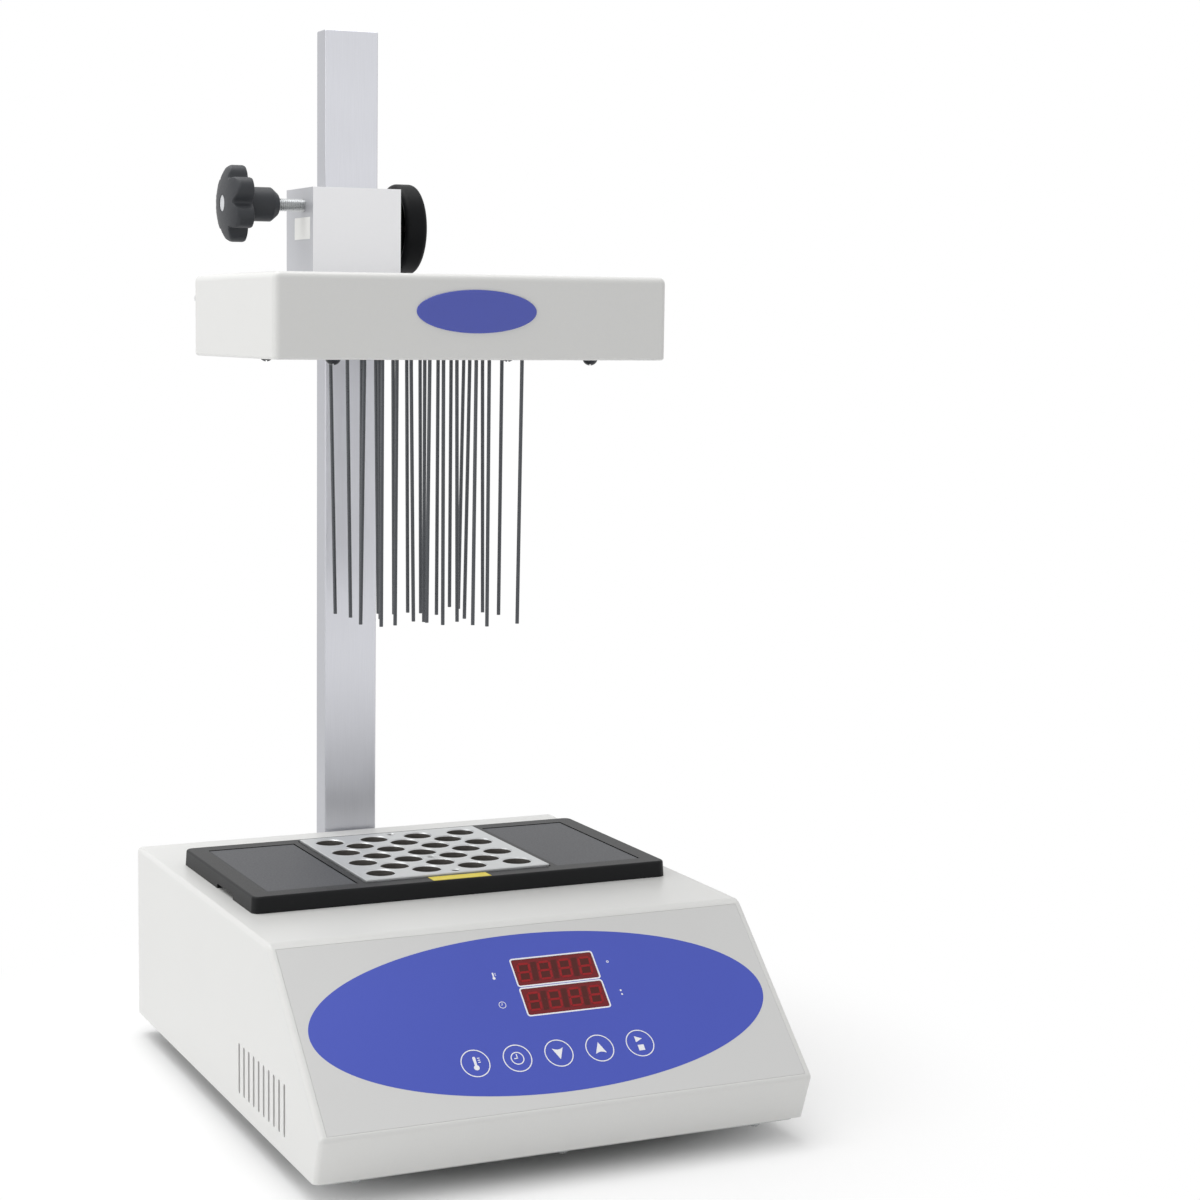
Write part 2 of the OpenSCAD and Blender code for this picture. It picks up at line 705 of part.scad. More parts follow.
// ================= rear fittings =================
module power_inlet() {
    color("#1d1e20") difference() {
        union() {
            translate([inlet_cx, back_y + flange_t / 2, inlet_cz - inlet_hh / 2])
                block(inlet_w, flange_t, inlet_hh);
            translate([inlet_cx, back_y - inlet_depth / 2, inlet_cz - inlet_hh / 2 + 3])
                block(inlet_w - 4, inlet_depth, inlet_hh - 6);
        }
        translate([inlet_cx - socket_w / 2, back_y + flange_t - socket_depth, socket_z - socket_h / 2])
            cube([socket_w, socket_depth + cut, socket_h]);
        translate([inlet_cx - drawer_w / 2 - 0.3, back_y - 17.3, drawer_z - drawer_h / 2 - 0.3])
            cube([drawer_w + 0.6, 22, drawer_h + 0.6]);
    }
}
module inlet_pins() {
    color("#c5c7c9") for (p = [[-7, -2], [0, 3], [7, -2]])
        translate([inlet_cx + p[0] - 1, back_y + flange_t - socket_depth, socket_z + p[1] - 2])
            cube([2, socket_depth - 4, 4]);
}
module fuse_drawer() {
    color("#2a2b2e") difference() {
        translate([inlet_cx - drawer_w / 2, back_y - 17, drawer_z - drawer_h / 2])
            cube([drawer_w, 17 + flange_t, drawer_h]);
        translate([inlet_cx - drawer_w / 2 + 1.5, back_y - 16, drawer_z - drawer_h / 2 + 1.5])
            cube([drawer_w - 3, 14, drawer_h]);
        translate([inlet_cx - 5, back_y + flange_t - 1.2, drawer_z + 1])
            cube([10, 2, 2.5]);
    }
}
rocker_y = back_y - 1;
module switch_frame() {
    color("#1d1e20") difference() {
        union() {
            translate([switch_cx, back_y + 1, switch_cz - switch_fh / 2]) block(switch_fw, 2, switch_fh);
            translate([switch_cx, back_y - 8, switch_cz - switch_fh / 2 + 2])
                block(switch_fw - 4, 16, switch_fh - 4);
        }
        translate([switch_cx - rocker_w / 2 - 0.4, back_y - 10, switch_cz - rocker_h / 2 - 0.4])
            cube([rocker_w + 0.8, 14, rocker_h + 0.8]);
    }
}
module switch_rocker() {
    // a rocker, stored with its upper half pressed in; its back is round about its axis
    color("#111214") translate([switch_cx, rocker_y, switch_cz]) rotate([rocker_tilt, 0, 0])
        translate([-rocker_w / 2, 0, 0]) rotate([90, 0, 90]) {
            difference() {
                cylinder(r = rocker_back, h = rocker_w);
                translate([cut, -rocker_h, -cut]) cube([rocker_h, 2 * rocker_h, rocker_w + 2 * cut]);
            }
            linear_extrude(height = rocker_w)
                polygon(concat([[0, -rocker_back], [0, rocker_back], [0.5, rocker_h / 2 - 0.5]],
                    [for (i = [0 : 8]) let (t = i / 8) [2 + 2 * (1 - pow(sin(180 * t), 1.4)),
                        (rocker_h / 2 - 0.5) * (1 - 2 * t)]],
                    [[0.5, -rocker_h / 2 + 0.5]]));
        }
}
rocker_tilt = 6;

// ================= column =================
column_screw_z = [z0 + 20, z0 + 55];
spacer_w = 56;
spacer_h = 68;
spacer_z = z0 + 4;
spacer_screws = [for (x = [-1, 1], z = [0, 1]) [x * (spacer_w / 2 - 6), spacer_z + 6 + z * (spacer_h - 12)]];
module column() {
    color("#d7d8de") difference() {
        translate([-col_w / 2, col_y1, col_z]) cube([col_w, col_d, col_top - col_z]);
        for (z = column_screw_z) {
            translate([0, col_y1 - cut, z]) rod_y(5.6, col_d + 2 * cut);
            translate([0, col_y2 - 5.4, z]) rod_y(9.4, 5.4 + cut);
        }
        translate([-rack_w / 2 - slip, col_y2 - rack_in, rack_z1 - slip])
            cube([rack_w + 2 * slip, rack_in + cut, rack_z2 - rack_z1 + 2 * slip]);
    }
}
module column_spacer() {
    color("#a5a8ab") difference() {
        translate([-spacer_w / 2, back_y, spacer_z]) cube([spacer_w, spacer_t, spacer_h]);
        for (z = column_screw_z) translate([0, back_y - cut, z]) rod_y(5.6, spacer_t + 2 * cut);
        for (p = spacer_screws) translate([p[0], back_y - cut, p[1]]) rod_y(4.2, spacer_t + 2 * cut);
    }
}
module column_screws() {
    color("#9a9c9e") {
        for (z = column_screw_z) translate([0, 0, z]) {
            translate([0, rear_y - 3, 0]) rod_y(5, col_y2 - 5.4 - rear_y + 3);
            translate([0, col_y2 - 5.4, 0]) difference() {
                rod_y(8.5, 5);
                translate([0, 2, 0]) rotate([-90, 0, 0]) cylinder(d = 4.6, h = 5, $fn = 6);
            }
        }
        for (p = spacer_screws) translate([p[0], 0, p[1]]) {
            translate([0, rear_y - 3, 0]) rod_y(4, 3 + rear_t + spacer_t);
            translate([0, back_y + spacer_t, 0]) rod_y(7.6, 2.4);
        }
    }
}
module nut_plate() {
    color("#a5a8ab") difference() {
        translate([-spacer_w / 2, rear_y - 3, spacer_z]) cube([spacer_w, 3, spacer_h]);
        for (z = column_screw_z) translate([0, rear_y - 4, z]) rod_y(5 + slip, 5);
        for (p = spacer_screws) translate([p[0], rear_y - 4, p[1]]) rod_y(4 + slip, 5);
    }
}

// Rack: teeth centred half a pitch off the shaft's height, so that a pinion tooth
// fills the gap at that height
tooth_pitch = PI * gear_m;
function rack_half(v) = tooth_pitch / 4 - backlash / 4 - v * tan(20);
rack_teeth = floor((rack_z2 - rack_z1 - 8) / tooth_pitch / 2) * 2;
rack_mid = shaft_z + round((lift_up - lift_down) / 2 / tooth_pitch) * tooth_pitch;
module rack() {
    root = rack_line - gear_ded;
    tip = rack_line + rack_add;
    stop = rack_teeth / 2 * tooth_pitch + 1; // the solid ends stop the pinion
    color("#8d8f92") translate([-rack_w / 2, 0, 0]) rotate([90, 0, 90])
        linear_extrude(height = rack_w) polygon(concat(
            [[col_y2 - rack_in, rack_z1], [tip, rack_z1], [tip, rack_mid - stop], [root, rack_mid - stop]],
            [for (i = [0 : rack_teeth - 1]) let (z = rack_mid + (i - (rack_teeth - 1) / 2) * tooth_pitch)
                each [[root, z - rack_half(-gear_ded)], [tip, z - rack_half(rack_add)],
                    [tip, z + rack_half(rack_add)], [root, z + rack_half(-gear_ded)]]],
            [[root, rack_mid + stop], [tip, rack_mid + stop], [tip, rack_z2], [col_y2 - rack_in, rack_z2]]));
}

// ================= collar =================
module collar_bores() {
    // cuts that the two collar halves share
    translate([-collar_w / 2 + 1.6, shaft_y, shaft_z]) rod_x(bush_d + slip, collar_w);
    for (x = [-1, 1], z = [collar_z + collar_screw[1], collar_top - collar_screw[1] + 3])
        translate([x * collar_screw[0], seam_y - 9, z]) rod_y(3.1, 9 + collar_rear + cut);
}
module collar_body() {
    color("#d2d3d7") difference() {
        translate([-collar_w / 2, collar_y1, collar_z]) cube([collar_w, seam_y - collar_y1, collar_h]);
        translate([-slot_w / 2, slot_y, collar_z - cut]) cube([slot_w, seam_y, collar_h + 2 * cut]);
        collar_bores();
        translate([-collar_w, col_mid, stud_z]) rod_x(stud_d + slip, collar_w);
        for (x = [-1, 1]) translate([x * arm_screw_x, collar_y1 - cut, arm_z + arm_h / 2]) {
            rod_y(5.2, collar_front + 2 * cut);
            translate([0, collar_front + cut - 3.2, 0]) rod_y(9, 3.2 + cut);
        }
    }
}
module collar_cover() {
    color("#cfd0d4") difference() {
        translate([-collar_w / 2, seam_y, collar_z]) cube([collar_w, collar_rear, collar_h]);
        collar_bores();
        translate([-rack_w / 2 - 1.5, shaft_y, shaft_z]) rod_x(2 * (gear_r + pinion_add) + 1.6, rack_w + 3);
        for (x = [-1, 1], z = [collar_z + collar_screw[1], collar_top - collar_screw[1] + 3])
            translate([x * collar_screw[0], collar_y2 - 3, z]) rod_y(6, 3 + cut);
    }
}
module collar_screws() {
    color("#8f9193") for (x = [-1, 1], z = [collar_z + collar_screw[1], collar_top - collar_screw[1] + 3])
        translate([x * collar_screw[0], 0, z]) {
            translate([0, seam_y - 8, 0]) rod_y(3, 8 + collar_rear - 3);
            translate([0, collar_y2 - 3, 0]) difference() {
                rod_y(5.6, 2.8);
                translate([0, 1.2, 0]) rotate([-90, 0, 0]) cylinder(d = 2.9, h = 3, $fn = 6);
            }
        }
}
module guide_liners() {
    pad_w = 7;
    color("#eceae2") difference() {
        union() {
            translate([-slot_w / 2, slot_y, collar_z]) cube([slot_w, liner_t, collar_h]);
            for (s = [-1, 1]) translate([s * (slot_w / 2 - liner_t / 2), (slot_y + col_y2) / 2, collar_z])
                block(liner_t, col_y2 - slot_y, collar_h);
            for (s = [-1, 1]) translate([s * (slot_w / 2 - pad_w / 2), 0, 0]) {
                translate([0, (col_y2 + guide_gap + seam_y) / 2, collar_z])
                    block(pad_w, seam_y - col_y2 - guide_gap, collar_h - shaft_drop - bush_d / 2 - 2);
                translate([0, (col_y2 + guide_gap + seam_y) / 2, shaft_z + bush_d / 2 + 2])
                    block(pad_w, seam_y - col_y2 - guide_gap, shaft_drop - bush_d / 2 - 2);
            }
        }
        translate([-collar_w, col_mid, stud_z]) rod_x(stud_d + slip, collar_w);
        for (x = [-1, 1]) translate([x * arm_screw_x, slot_y - cut, arm_z + arm_h / 2])
            rod_y(9, liner_t + 2 * cut);
        translate([-slot_w / 2 - cut, shaft_y, shaft_z]) rod_x(bush_d + 2 * slip, slot_w + 2 * cut);
    }
}
module shaft_bushes() {
    color("#b98a4a") difference() {
        union() {
            translate([-collar_w / 2 + 1.6, shaft_y, shaft_z]) rod_x(bush_d, (collar_w - slot_w) / 2 - 1.6);
            translate([slot_w / 2, shaft_y, shaft_z]) rod_x(bush_d, (collar_w - slot_w) / 2);
            translate([collar_w / 2, shaft_y, shaft_z]) rod_x(bush_flange, bush_flange_t);
        }
        translate([-collar_w, shaft_y, shaft_z]) rod_x(shaft_d + slip, 2 * collar_w);
    }
}
// Involute pinion
base_r = gear_r * cos(20);
function inv_a(r) = let (t = sqrt(max(pow(r / base_r, 2) - 1, 0))) t * 180 / PI - atan(t);
tooth_half = (tooth_pitch / 2 - backlash / 2) / 2 / gear_r * 180 / PI;
function flank_a(r) = tooth_half + inv_a(gear_r) - inv_a(max(r, base_r));
root_r = gear_r - gear_ded * 0.8;
tip_r = gear_r + pinion_add;
flank_r = [root_r, for (i = [0 : 6]) base_r + (tip_r - base_r) * i / 6];
function polar(r, a) = [r * cos(a), r * sin(a)];
module pinion_outline() {
    polygon([for (k = [0 : gear_n - 1]) let (c = k * 360 / gear_n)
        each concat([for (r = flank_r) polar(r, c - flank_a(r))],
            [for (i = [len(flank_r) - 1 : -1 : 0]) polar(flank_r[i], c + flank_a(flank_r[i]))])]);
}
module pinion_shaft() {
    color("#9da0a3") translate([0, shaft_y, shaft_z]) {
        translate([-rack_w / 2, 0, 0]) rotate([90, 0, 90]) linear_extrude(height = rack_w) pinion_outline();
        translate([-collar_w / 2 + 1.8, 0, 0]) rod_x(shaft_d, collar_w / 2 - 1.8 + wheel_x2 - 2);
    }
}
module handwheel() {
    r = wheel_d / 2;
    e = 2.6; // edge radius of the rim
    hub_r = 7.5;
    outline = concat([[shaft_d / 2, wheel_hub_x], [hub_r, wheel_hub_x], [hub_r, wheel_x1 + 7],
        [r - 4.2, wheel_x1 + 7], [r - 4.2, wheel_x1 + 0.6]],
        [for (i = [0 : 6]) [r - e + e * sin(15 * i), wheel_x1 + e - e * cos(15 * i)]],
        [for (i = [0 : 6]) [r - e + e * cos(15 * i), wheel_x2 - e + e * sin(15 * i)]],
        [[9, wheel_x2 - 0.8], [shaft_d / 2, wheel_x2 - 0.8]]);
    color("#2c2d30") translate([0, shaft_y, shaft_z]) rotate([0, 90, 0]) {
        rotate_extrude($fn = 72) polygon(outline);
        translate([0, 0, wheel_x2 - 2]) cylinder(d = shaft_d + 1, h = 1.2);
        for (a = [0 : 60 : 300]) rotate([0, 0, a]) translate([hub_r - 0.5, -1.25, wheel_x1 + 1.5])
            cube([r - 4 - hub_r + 0.8, 2.5, 6]);
    }
}

// ================= lock screw =================
module lock_pad() {
    color("#b98a4a") translate([pad_x - pad_l, col_mid, stud_z]) rod_x(pad_d, pad_l);
}
module lock_stud() {
    color("#b8bcbe") translate([knob_x - knob_hub_l + 2, col_mid, stud_z])
        rod_x(stud_d, pad_x - pad_l - rest_gap - (knob_x - knob_hub_l + 2));
}
lobe_r = 5.6;
module lock_knob() {
    r = knob_d / 2;
    hub_r = 7.8;
    color("#3e4144") translate([knob_out, col_mid, stud_z]) rotate([0, 90, 0]) difference() {
        union() {
            intersection() {
                union() {
                    cylinder(r = r - lobe_r, h = knob_t);
                    for (i = [0 : 5]) rotate([0, 0, i * 60]) translate([r - lobe_r, 0, 0])
                        cylinder(r = lobe_r, h = knob_t);
                }
                rotate_extrude($fn = 72) polygon([[0, 0], [r * 0.45, 0.3], [r * 0.75, 1.3], [r * 0.93, 2.8],
                    [r, 4.6], [r, knob_t - 1.6], [r - 1.2, knob_t], [0, knob_t]]);
            }
            rotate_extrude() polygon([[0, knob_t - cut], [hub_r + 0.6, knob_t - cut], [hub_r, knob_t + 1],
                [hub_r, knob_t + knob_hub_l - 3.5], [hub_r - 3, knob_t + knob_hub_l], [0, knob_t + knob_hub_l]]);
        }
        translate([0, 0, -cut]) cylinder(d = 7.6, h = 1.2 + cut);
        translate([0, 0, knob_t + 2]) cylinder(d = stud_d, h = knob_hub_l);
    }
}
module knob_cap() {
    color("#d6d8da") translate([knob_out + 0.5, col_mid, stud_z]) rod_x(7.4, 0.7);
}

// ================= head =================
arm_screw_x = 9;
module head_arm() {
    color("#c4c6c9") difference() {
        union() {
            translate([-arm_w / 2, arm_front, arm_z]) cube([arm_w, collar_y1 - arm_front, arm_h]);
            translate([-arm_w / 2, arm_front - tongue_l, lid_z + lid_t])
                cube([arm_w, tongue_l + cut, tongue_t]);
        }
        for (x = [-1, 1]) {
            translate([x * arm_screw_x, collar_y1 - 14, arm_z + arm_h / 2]) rod_y(5 + slip, 14 + cut);
            translate([x * arm_screw_x, arm_front - tongue_l / 2, lid_z]) cylinder(d = 4.2, h = lid_t + tongue_t + cut);
        }
    }
}
module arm_screws() {
    color("#8f9193") for (x = [-1, 1]) {
        translate([x * arm_screw_x, collar_y1 - 12, arm_z + arm_h / 2]) rod_y(5, 12 + collar_front - 3.2);
        translate([x * arm_screw_x, slot_y - 3.2, arm_z + arm_h / 2]) rod_y(8.4, 2.8);
        translate([x * arm_screw_x, arm_front - tongue_l / 2, lid_z + 0.2]) cylinder(d = 4, h = lid_t + tongue_t - 0.2);
        translate([x * arm_screw_x, arm_front - tongue_l / 2, lid_z + lid_t + tongue_t]) cylinder(d = 7, h = 1.4);
    }
}
module head_cover() {
    color("#d9d9d7") difference() {
        union() {
            difference() {
                translate([0, head_mid, head_z]) round_plate(head_w, head_d, head_h, shell_r);
                translate([0, head_mid, head_z - cut])
                    round_plate(head_w - 2 * shell_t, head_d - 2 * shell_t, head_h - shell_t + cut, 1);
            }
            for (x = [-1, 1], y = boss_y) translate([x * boss_x, y, chamber_z])
                cylinder(d = boss_d, h = head_top - chamber_z - 1);
        }
        for (x = [-1, 1], y = boss_y) translate([x * boss_x, y, chamber_z - cut])
            cylinder(d = 3.1, h = 12 + cut);
        // way out for the arm
        translate([-arm_w / 2 - 0.5, head_y2 - shell_t - cut, arm_z - 0.5])
            cube([arm_w + 1, shell_t + 2 * cut, arm_h + 1]);
        translate([inlet_x, head_y2 - shell_t - cut, inlet_z]) rod_y(tube_d + 2 + slip, shell_t + 2 * cut);
    }
}
module head_bottom() {
    color("#c9c9c7") difference() {
        translate([0, head_mid, head_z])
            round_plate(head_w - 2 * shell_t - 2 * slip, head_d - 2 * shell_t - 2 * slip, floor_t, 1);
        for (p = wells) translate([p[0], p[1] + work_y, head_z - cut])
            cylinder(d = needle_d + 1, h = floor_t + 2 * cut, $fn = 24);
        for (x = [-1, 1], y = boss_y) translate([x * boss_x, y, head_z - cut])
            cylinder(d = 3.2, h = floor_t + 2 * cut);
    }
}
module head_screws() {
    color("#3a3c3f") for (x = [-1, 1], y = boss_y) translate([x * boss_x, y, head_z])
        screw_down(head_screw[0], head_screw[1], head_screw[2], head_screw[3]);
}
module badge_plate() {
    color("#3f4fae") translate([0, head_y1, inlet_z - 5.2]) rotate([90, 0, 0])
        linear_extrude(height = 0.8)
            polygon([for (i = [0 : 71]) [badge_w / 2 * cos(5 * i), badge_h / 2 * sin(5 * i)]]);
}
module gas_chamber() {
    color("#b9bcbf") translate([0, work_y, chamber_z]) difference() {
        block(chamber_w, chamber_w, chamber_h);
        translate([0, 0, chamber_floor])
            block(chamber_w - 2 * chamber_wall, chamber_w - 2 * chamber_wall, chamber_h);
        for (p = wells) translate([p[0], p[1], -cut]) cylinder(d = needle_d + slip, h = chamber_h, $fn = 24);
    }
}
module chamber_lid() {
    color("#c3c6c8") difference() {
        union() {
            translate([0, work_y, lid_z]) block(chamber_w, chamber_w, lid_t);
            translate([port_x, tube_y, lid_z]) cylinder(d = tube_d + 3, h = lid_t + 1);
        }
        translate([port_x, tube_y, lid_z - cut]) cylinder(d = tube_d + slip, h = lid_t + 3);
        for (x = [-1, 1]) translate([x * arm_screw_x, arm_front - tongue_l / 2, lid_z - cut])
            cylinder(d = 4 + slip, h = lid_t + 2 * cut);
    }
}
module needle_seal() {
    color("#c96a4a") difference() {
        translate([0, work_y, chamber_z + chamber_floor])
            block(chamber_w - 2 * chamber_wall - slip, chamber_w - 2 * chamber_wall - slip, seal_t);
        for (p = wells) translate([p[0], p[1] + work_y, chamber_z]) cylinder(d = needle_d, h = chamber_h, $fn = 24);
    }
}
module needles() {
    color("#a9adb0") for (p = wells) translate([p[0], p[1] + work_y, tip_z]) difference() {
        cylinder(d = needle_d, h = needle_l, $fn = 24);
        translate([0, 0, -cut]) cylinder(d = needle_bore, h = needle_l + 2 * cut, $fn = 24);
    }
}
module gas_inlet() {
    // a bulkhead barb: hexagon against the shell, nut inside
    y = head_y2;
    color("#c6c8cb") translate([inlet_x, y, inlet_z]) difference() {
        union() {
            translate([0, -shell_t - 4, 0]) rod_y(tube_d + 2, shell_t + 5);
            translate([0, -shell_t - 3, 0]) rotate([-90, 0, 0]) cylinder(d = 12, h = 3, $fn = 6);
            rotate([-90, 0, 0]) cylinder(d = 11.5, h = 4, $fn = 6);
            translate([0, 4, 0]) rod_y(barb_d - 1.2, barb_l - 4);
            for (i = [0 : 2]) translate([0, barb_l - 4.2 * (i + 1), 0]) rotate([-90, 0, 0])
                cylinder(d1 = barb_d, d2 = barb_d - 1.3, h = 4);
        }
        translate([0, -shell_t - 5, 0]) rod_y(3.4, barb_l + shell_t + 6);
    }
}
module elbow() {
    // quarter turn from -Y to +X
    rotate_extrude(angle = 90) translate([tube_bend, 0]) circle(d = tube_d, $fn = 24);
}
module inlet_tube() {
    start = head_y2 - shell_t - 4;
    color("#dfe3e4") {
        translate([inlet_x, tube_y + tube_bend, inlet_z]) rod_y(tube_d, start - tube_y - tube_bend);
        translate([inlet_x + tube_bend, tube_y + tube_bend, inlet_z]) rotate([0, 0, 180]) elbow();
        translate([inlet_x + tube_bend, tube_y, inlet_z]) rod_x(tube_d, port_x - inlet_x - tube_bend);
        translate([port_x, tube_y, inlet_z]) sphere(d = tube_d);
        translate([port_x, tube_y, lid_z]) cylinder(d = tube_d, h = inlet_z - lid_z, $fn = 24);
    }
}

base_housing();
rear_panel();
bottom_plate();
bottom_screws();
rubber_feet();
foot_screws();
front_overlay();
display_windows();
led_displays();
control_board();
key_switches();
key_temp();
key_time();
key_down();
key_up();
key_start();
top_frame();
left_cover_plate();
right_cover_plate();
heating_block();
heater_well();
heater_plate();
heater_mat();
temperature_sensor();
insulation();
standoffs();
power_board();
power_inlet();
inlet_pins();
fuse_drawer();
switch_frame();
switch_rocker();
column();
column_spacer();
column_screws();
nut_plate();
rack();
collar_body();
collar_cover();
collar_screws();
guide_liners();
shaft_bushes();
pinion_shaft();
handwheel();
lock_pad();
lock_stud();
lock_knob();
knob_cap();
head_arm();
arm_screws();
head_cover();
head_bottom();
head_screws();
badge_plate();
gas_chamber();
chamber_lid();
needle_seal();
needles();
gas_inlet();
inlet_tube();
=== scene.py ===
import math
import random

import bmesh
import bpy
from mathutils import Matrix, Vector


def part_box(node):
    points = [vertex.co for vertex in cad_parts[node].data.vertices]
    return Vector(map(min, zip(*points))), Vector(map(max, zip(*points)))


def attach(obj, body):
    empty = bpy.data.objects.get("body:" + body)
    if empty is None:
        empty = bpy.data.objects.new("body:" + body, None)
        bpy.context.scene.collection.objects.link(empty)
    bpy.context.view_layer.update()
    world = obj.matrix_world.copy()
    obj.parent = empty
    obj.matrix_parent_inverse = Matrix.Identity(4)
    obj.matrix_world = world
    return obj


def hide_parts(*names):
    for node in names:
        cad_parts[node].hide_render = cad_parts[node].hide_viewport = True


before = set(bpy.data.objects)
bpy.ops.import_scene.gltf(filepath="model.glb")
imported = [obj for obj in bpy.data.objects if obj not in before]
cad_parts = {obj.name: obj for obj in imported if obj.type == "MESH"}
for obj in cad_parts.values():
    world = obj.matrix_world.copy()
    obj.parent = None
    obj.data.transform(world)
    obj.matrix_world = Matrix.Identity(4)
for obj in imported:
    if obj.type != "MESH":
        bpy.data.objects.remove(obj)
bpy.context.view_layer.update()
MM = 0.001

# ---- Camera ----
# A long lens stands before the machine's left front corner, a little above the middle, and looks
# slightly down. The machine is left of the picture's middle, so the lens is shifted sideways.
eye = Vector((-391.0, -950.9, 328.0)) * MM
yaw, pitch, roll = (math.radians(a) for a in (23.4, 6.7, 0.5))
picture_side = 1200
focal_length = 2396.7  # in pixels, as the next two
axis_x, axis_y = 480, 605
sensor_w = 36

ahead = Vector((math.sin(yaw) * math.cos(pitch), math.cos(yaw) * math.cos(pitch), -math.sin(pitch)))
level = Vector((math.cos(yaw), -math.sin(yaw), 0))
above = level.cross(ahead)
right = level * math.cos(roll) + above * math.sin(roll)
up = above * math.cos(roll) - level * math.sin(roll)


def shown(name, data):
    """A new object in the scene."""
    made = bpy.data.objects.new(name, data)
    bpy.context.scene.collection.objects.link(made)
    return made


camera = shown("camera", bpy.data.cameras.new("camera"))
camera.matrix_world = Matrix.Translation(eye) @ Matrix((right, up, -ahead)).transposed().to_4x4()
camera.data.sensor_width = sensor_w
camera.data.lens = focal_length * sensor_w / picture_side
camera.data.shift_x = (picture_side / 2 - axis_x) / picture_side
camera.data.shift_y = (axis_y - picture_side / 2) / picture_side
bpy.context.scene.camera = camera
bpy.context.scene.view_settings.view_transform = "Standard"


# ---- Studio ----
# A pale table in a white room. The room lights all sides softly, a wide lamp overhead keeps
# level faces the brightest, and one on the left lifts the left walls over the front ones.
def linear(colour):
    """An sRGB hex value as linear red, green, blue and alpha."""
    parts = [int(colour[i : i + 2], 16) / 255 for i in (1, 3, 5)]
    return [c / 12.92 if c <= 0.04045 else ((c + 0.055) / 1.055) ** 2.4 for c in parts] + [1]


def add(tree, kind, values=None, links=None):
    """Adds a node to a tree, sets its inputs and properties, and links its other inputs."""
    node = tree.nodes.new(kind)
    for key, value in (values or {}).items():
        if isinstance(key, int) or key in node.inputs:
            node.inputs[key].default_value = value
        else:
            setattr(node, key, value)
    for key, source in (links or {}).items():
        tree.links.new(source, node.inputs[key])
    return node


def seen_directly(tree):
    """1 for rays that show the room itself: straight to the camera, off gloss, or through glass."""
    path = add(tree, "ShaderNodeLightPath")
    seen = path.outputs["Is Camera Ray"]
    for ray in ("Is Glossy Ray", "Is Transmission Ray"):
        either = add(tree, "ShaderNodeMath", {"operation": "MAXIMUM"}, {0: seen, 1: path.outputs[ray]})
        seen = either.outputs[0]
    return seen


room_light = 0.52
world = bpy.data.worlds.new("white room")
world.use_nodes = True
bpy.context.scene.world = world
tree = world.node_tree
room = tree.nodes["Background"]
room.inputs["Color"].default_value = (1, 1, 1, 1)
strength = add(tree, "ShaderNodeMix", {2: room_light, 3: 1.0}, {0: seen_directly(tree)})
tree.links.new(strength.outputs[0], room.inputs["Strength"])

table_side = 12.0
shade_near, shade_far = 0.12, 0.27  # the table's shading fades out between these radii
table_top = bpy.data.materials.new("white laminate table")
table_top.use_nodes = True
tree = table_top.node_tree
laminate = tree.nodes["Principled BSDF"]
laminate.inputs["Base Color"].default_value = linear("#fbfbfb")
laminate.inputs["Roughness"].default_value = 0.7
laminate.inputs["Specular IOR Level"].default_value = 0.1
spot = add(tree, "ShaderNodeTexCoord")
far = add(tree, "ShaderNodeVectorMath", {"operation": "LENGTH"}, {0: spot.outputs["Object"]})
fading = {"interpolation_type": "SMOOTHSTEP", "From Min": shade_near, "From Max": shade_far}
fade = add(tree, "ShaderNodeMapRange", fading, {"Value": far.outputs["Value"]})
white = add(tree, "ShaderNodeEmission", {"Color": (1, 1, 1, 1), "Strength": 1.0})
share = add(tree, "ShaderNodeMath", {"operation": "MULTIPLY"}, {0: fade.outputs[0], 1: seen_directly(tree)})
shaders = {0: share.outputs[0], 1: laminate.outputs[0], 2: white.outputs[0]}
mixed = add(tree, "ShaderNodeMixShader", links=shaders)
tree.links.new(mixed.outputs[0], tree.nodes["Material Output"].inputs["Surface"])


def mesh_of(bm, name="draft"):
    """A mesh of a bmesh, which is used up."""
    mesh = bpy.data.meshes.new(name)
    bm.to_mesh(mesh)
    bm.free()
    return mesh


table = bmesh.new()
bmesh.ops.create_grid(table, x_segments=1, y_segments=1, size=table_side / 2)
table_piece = shown("table", mesh_of(table, "table"))
table_piece.data.materials.append(table_top)

aim = Vector((0, 0, 150)) * MM
lamps = {  # place in metres, side in metres, watts
    "overhead": ((-0.25, 0.25, 1.7), 1.5, 20.0),
    "left": ((-1.7, -0.2, 0.7), 1.2, 6.2),
}
for lamp_name, (place, side, watts) in lamps.items():
    lamp = shown(lamp_name, bpy.data.lights.new(lamp_name, "AREA"))
    lamp.data.size, lamp.data.energy = side, watts
    lamp.location = place
    lamp.rotation_euler = (aim - lamp.location).to_track_quat("-Z", "Y").to_euler()


# ---- Base housing ----
# The wedge housing is one steel sheet, folded over at the brow and the nose and welded down its
# sides, where the corner is ground round. It is powder coated off-white. Vents are punched in
# the sides, and the slope has a shallow seat for the printed film.
cloud = 60 * MM  # the size of the soft clouds in each material's colour


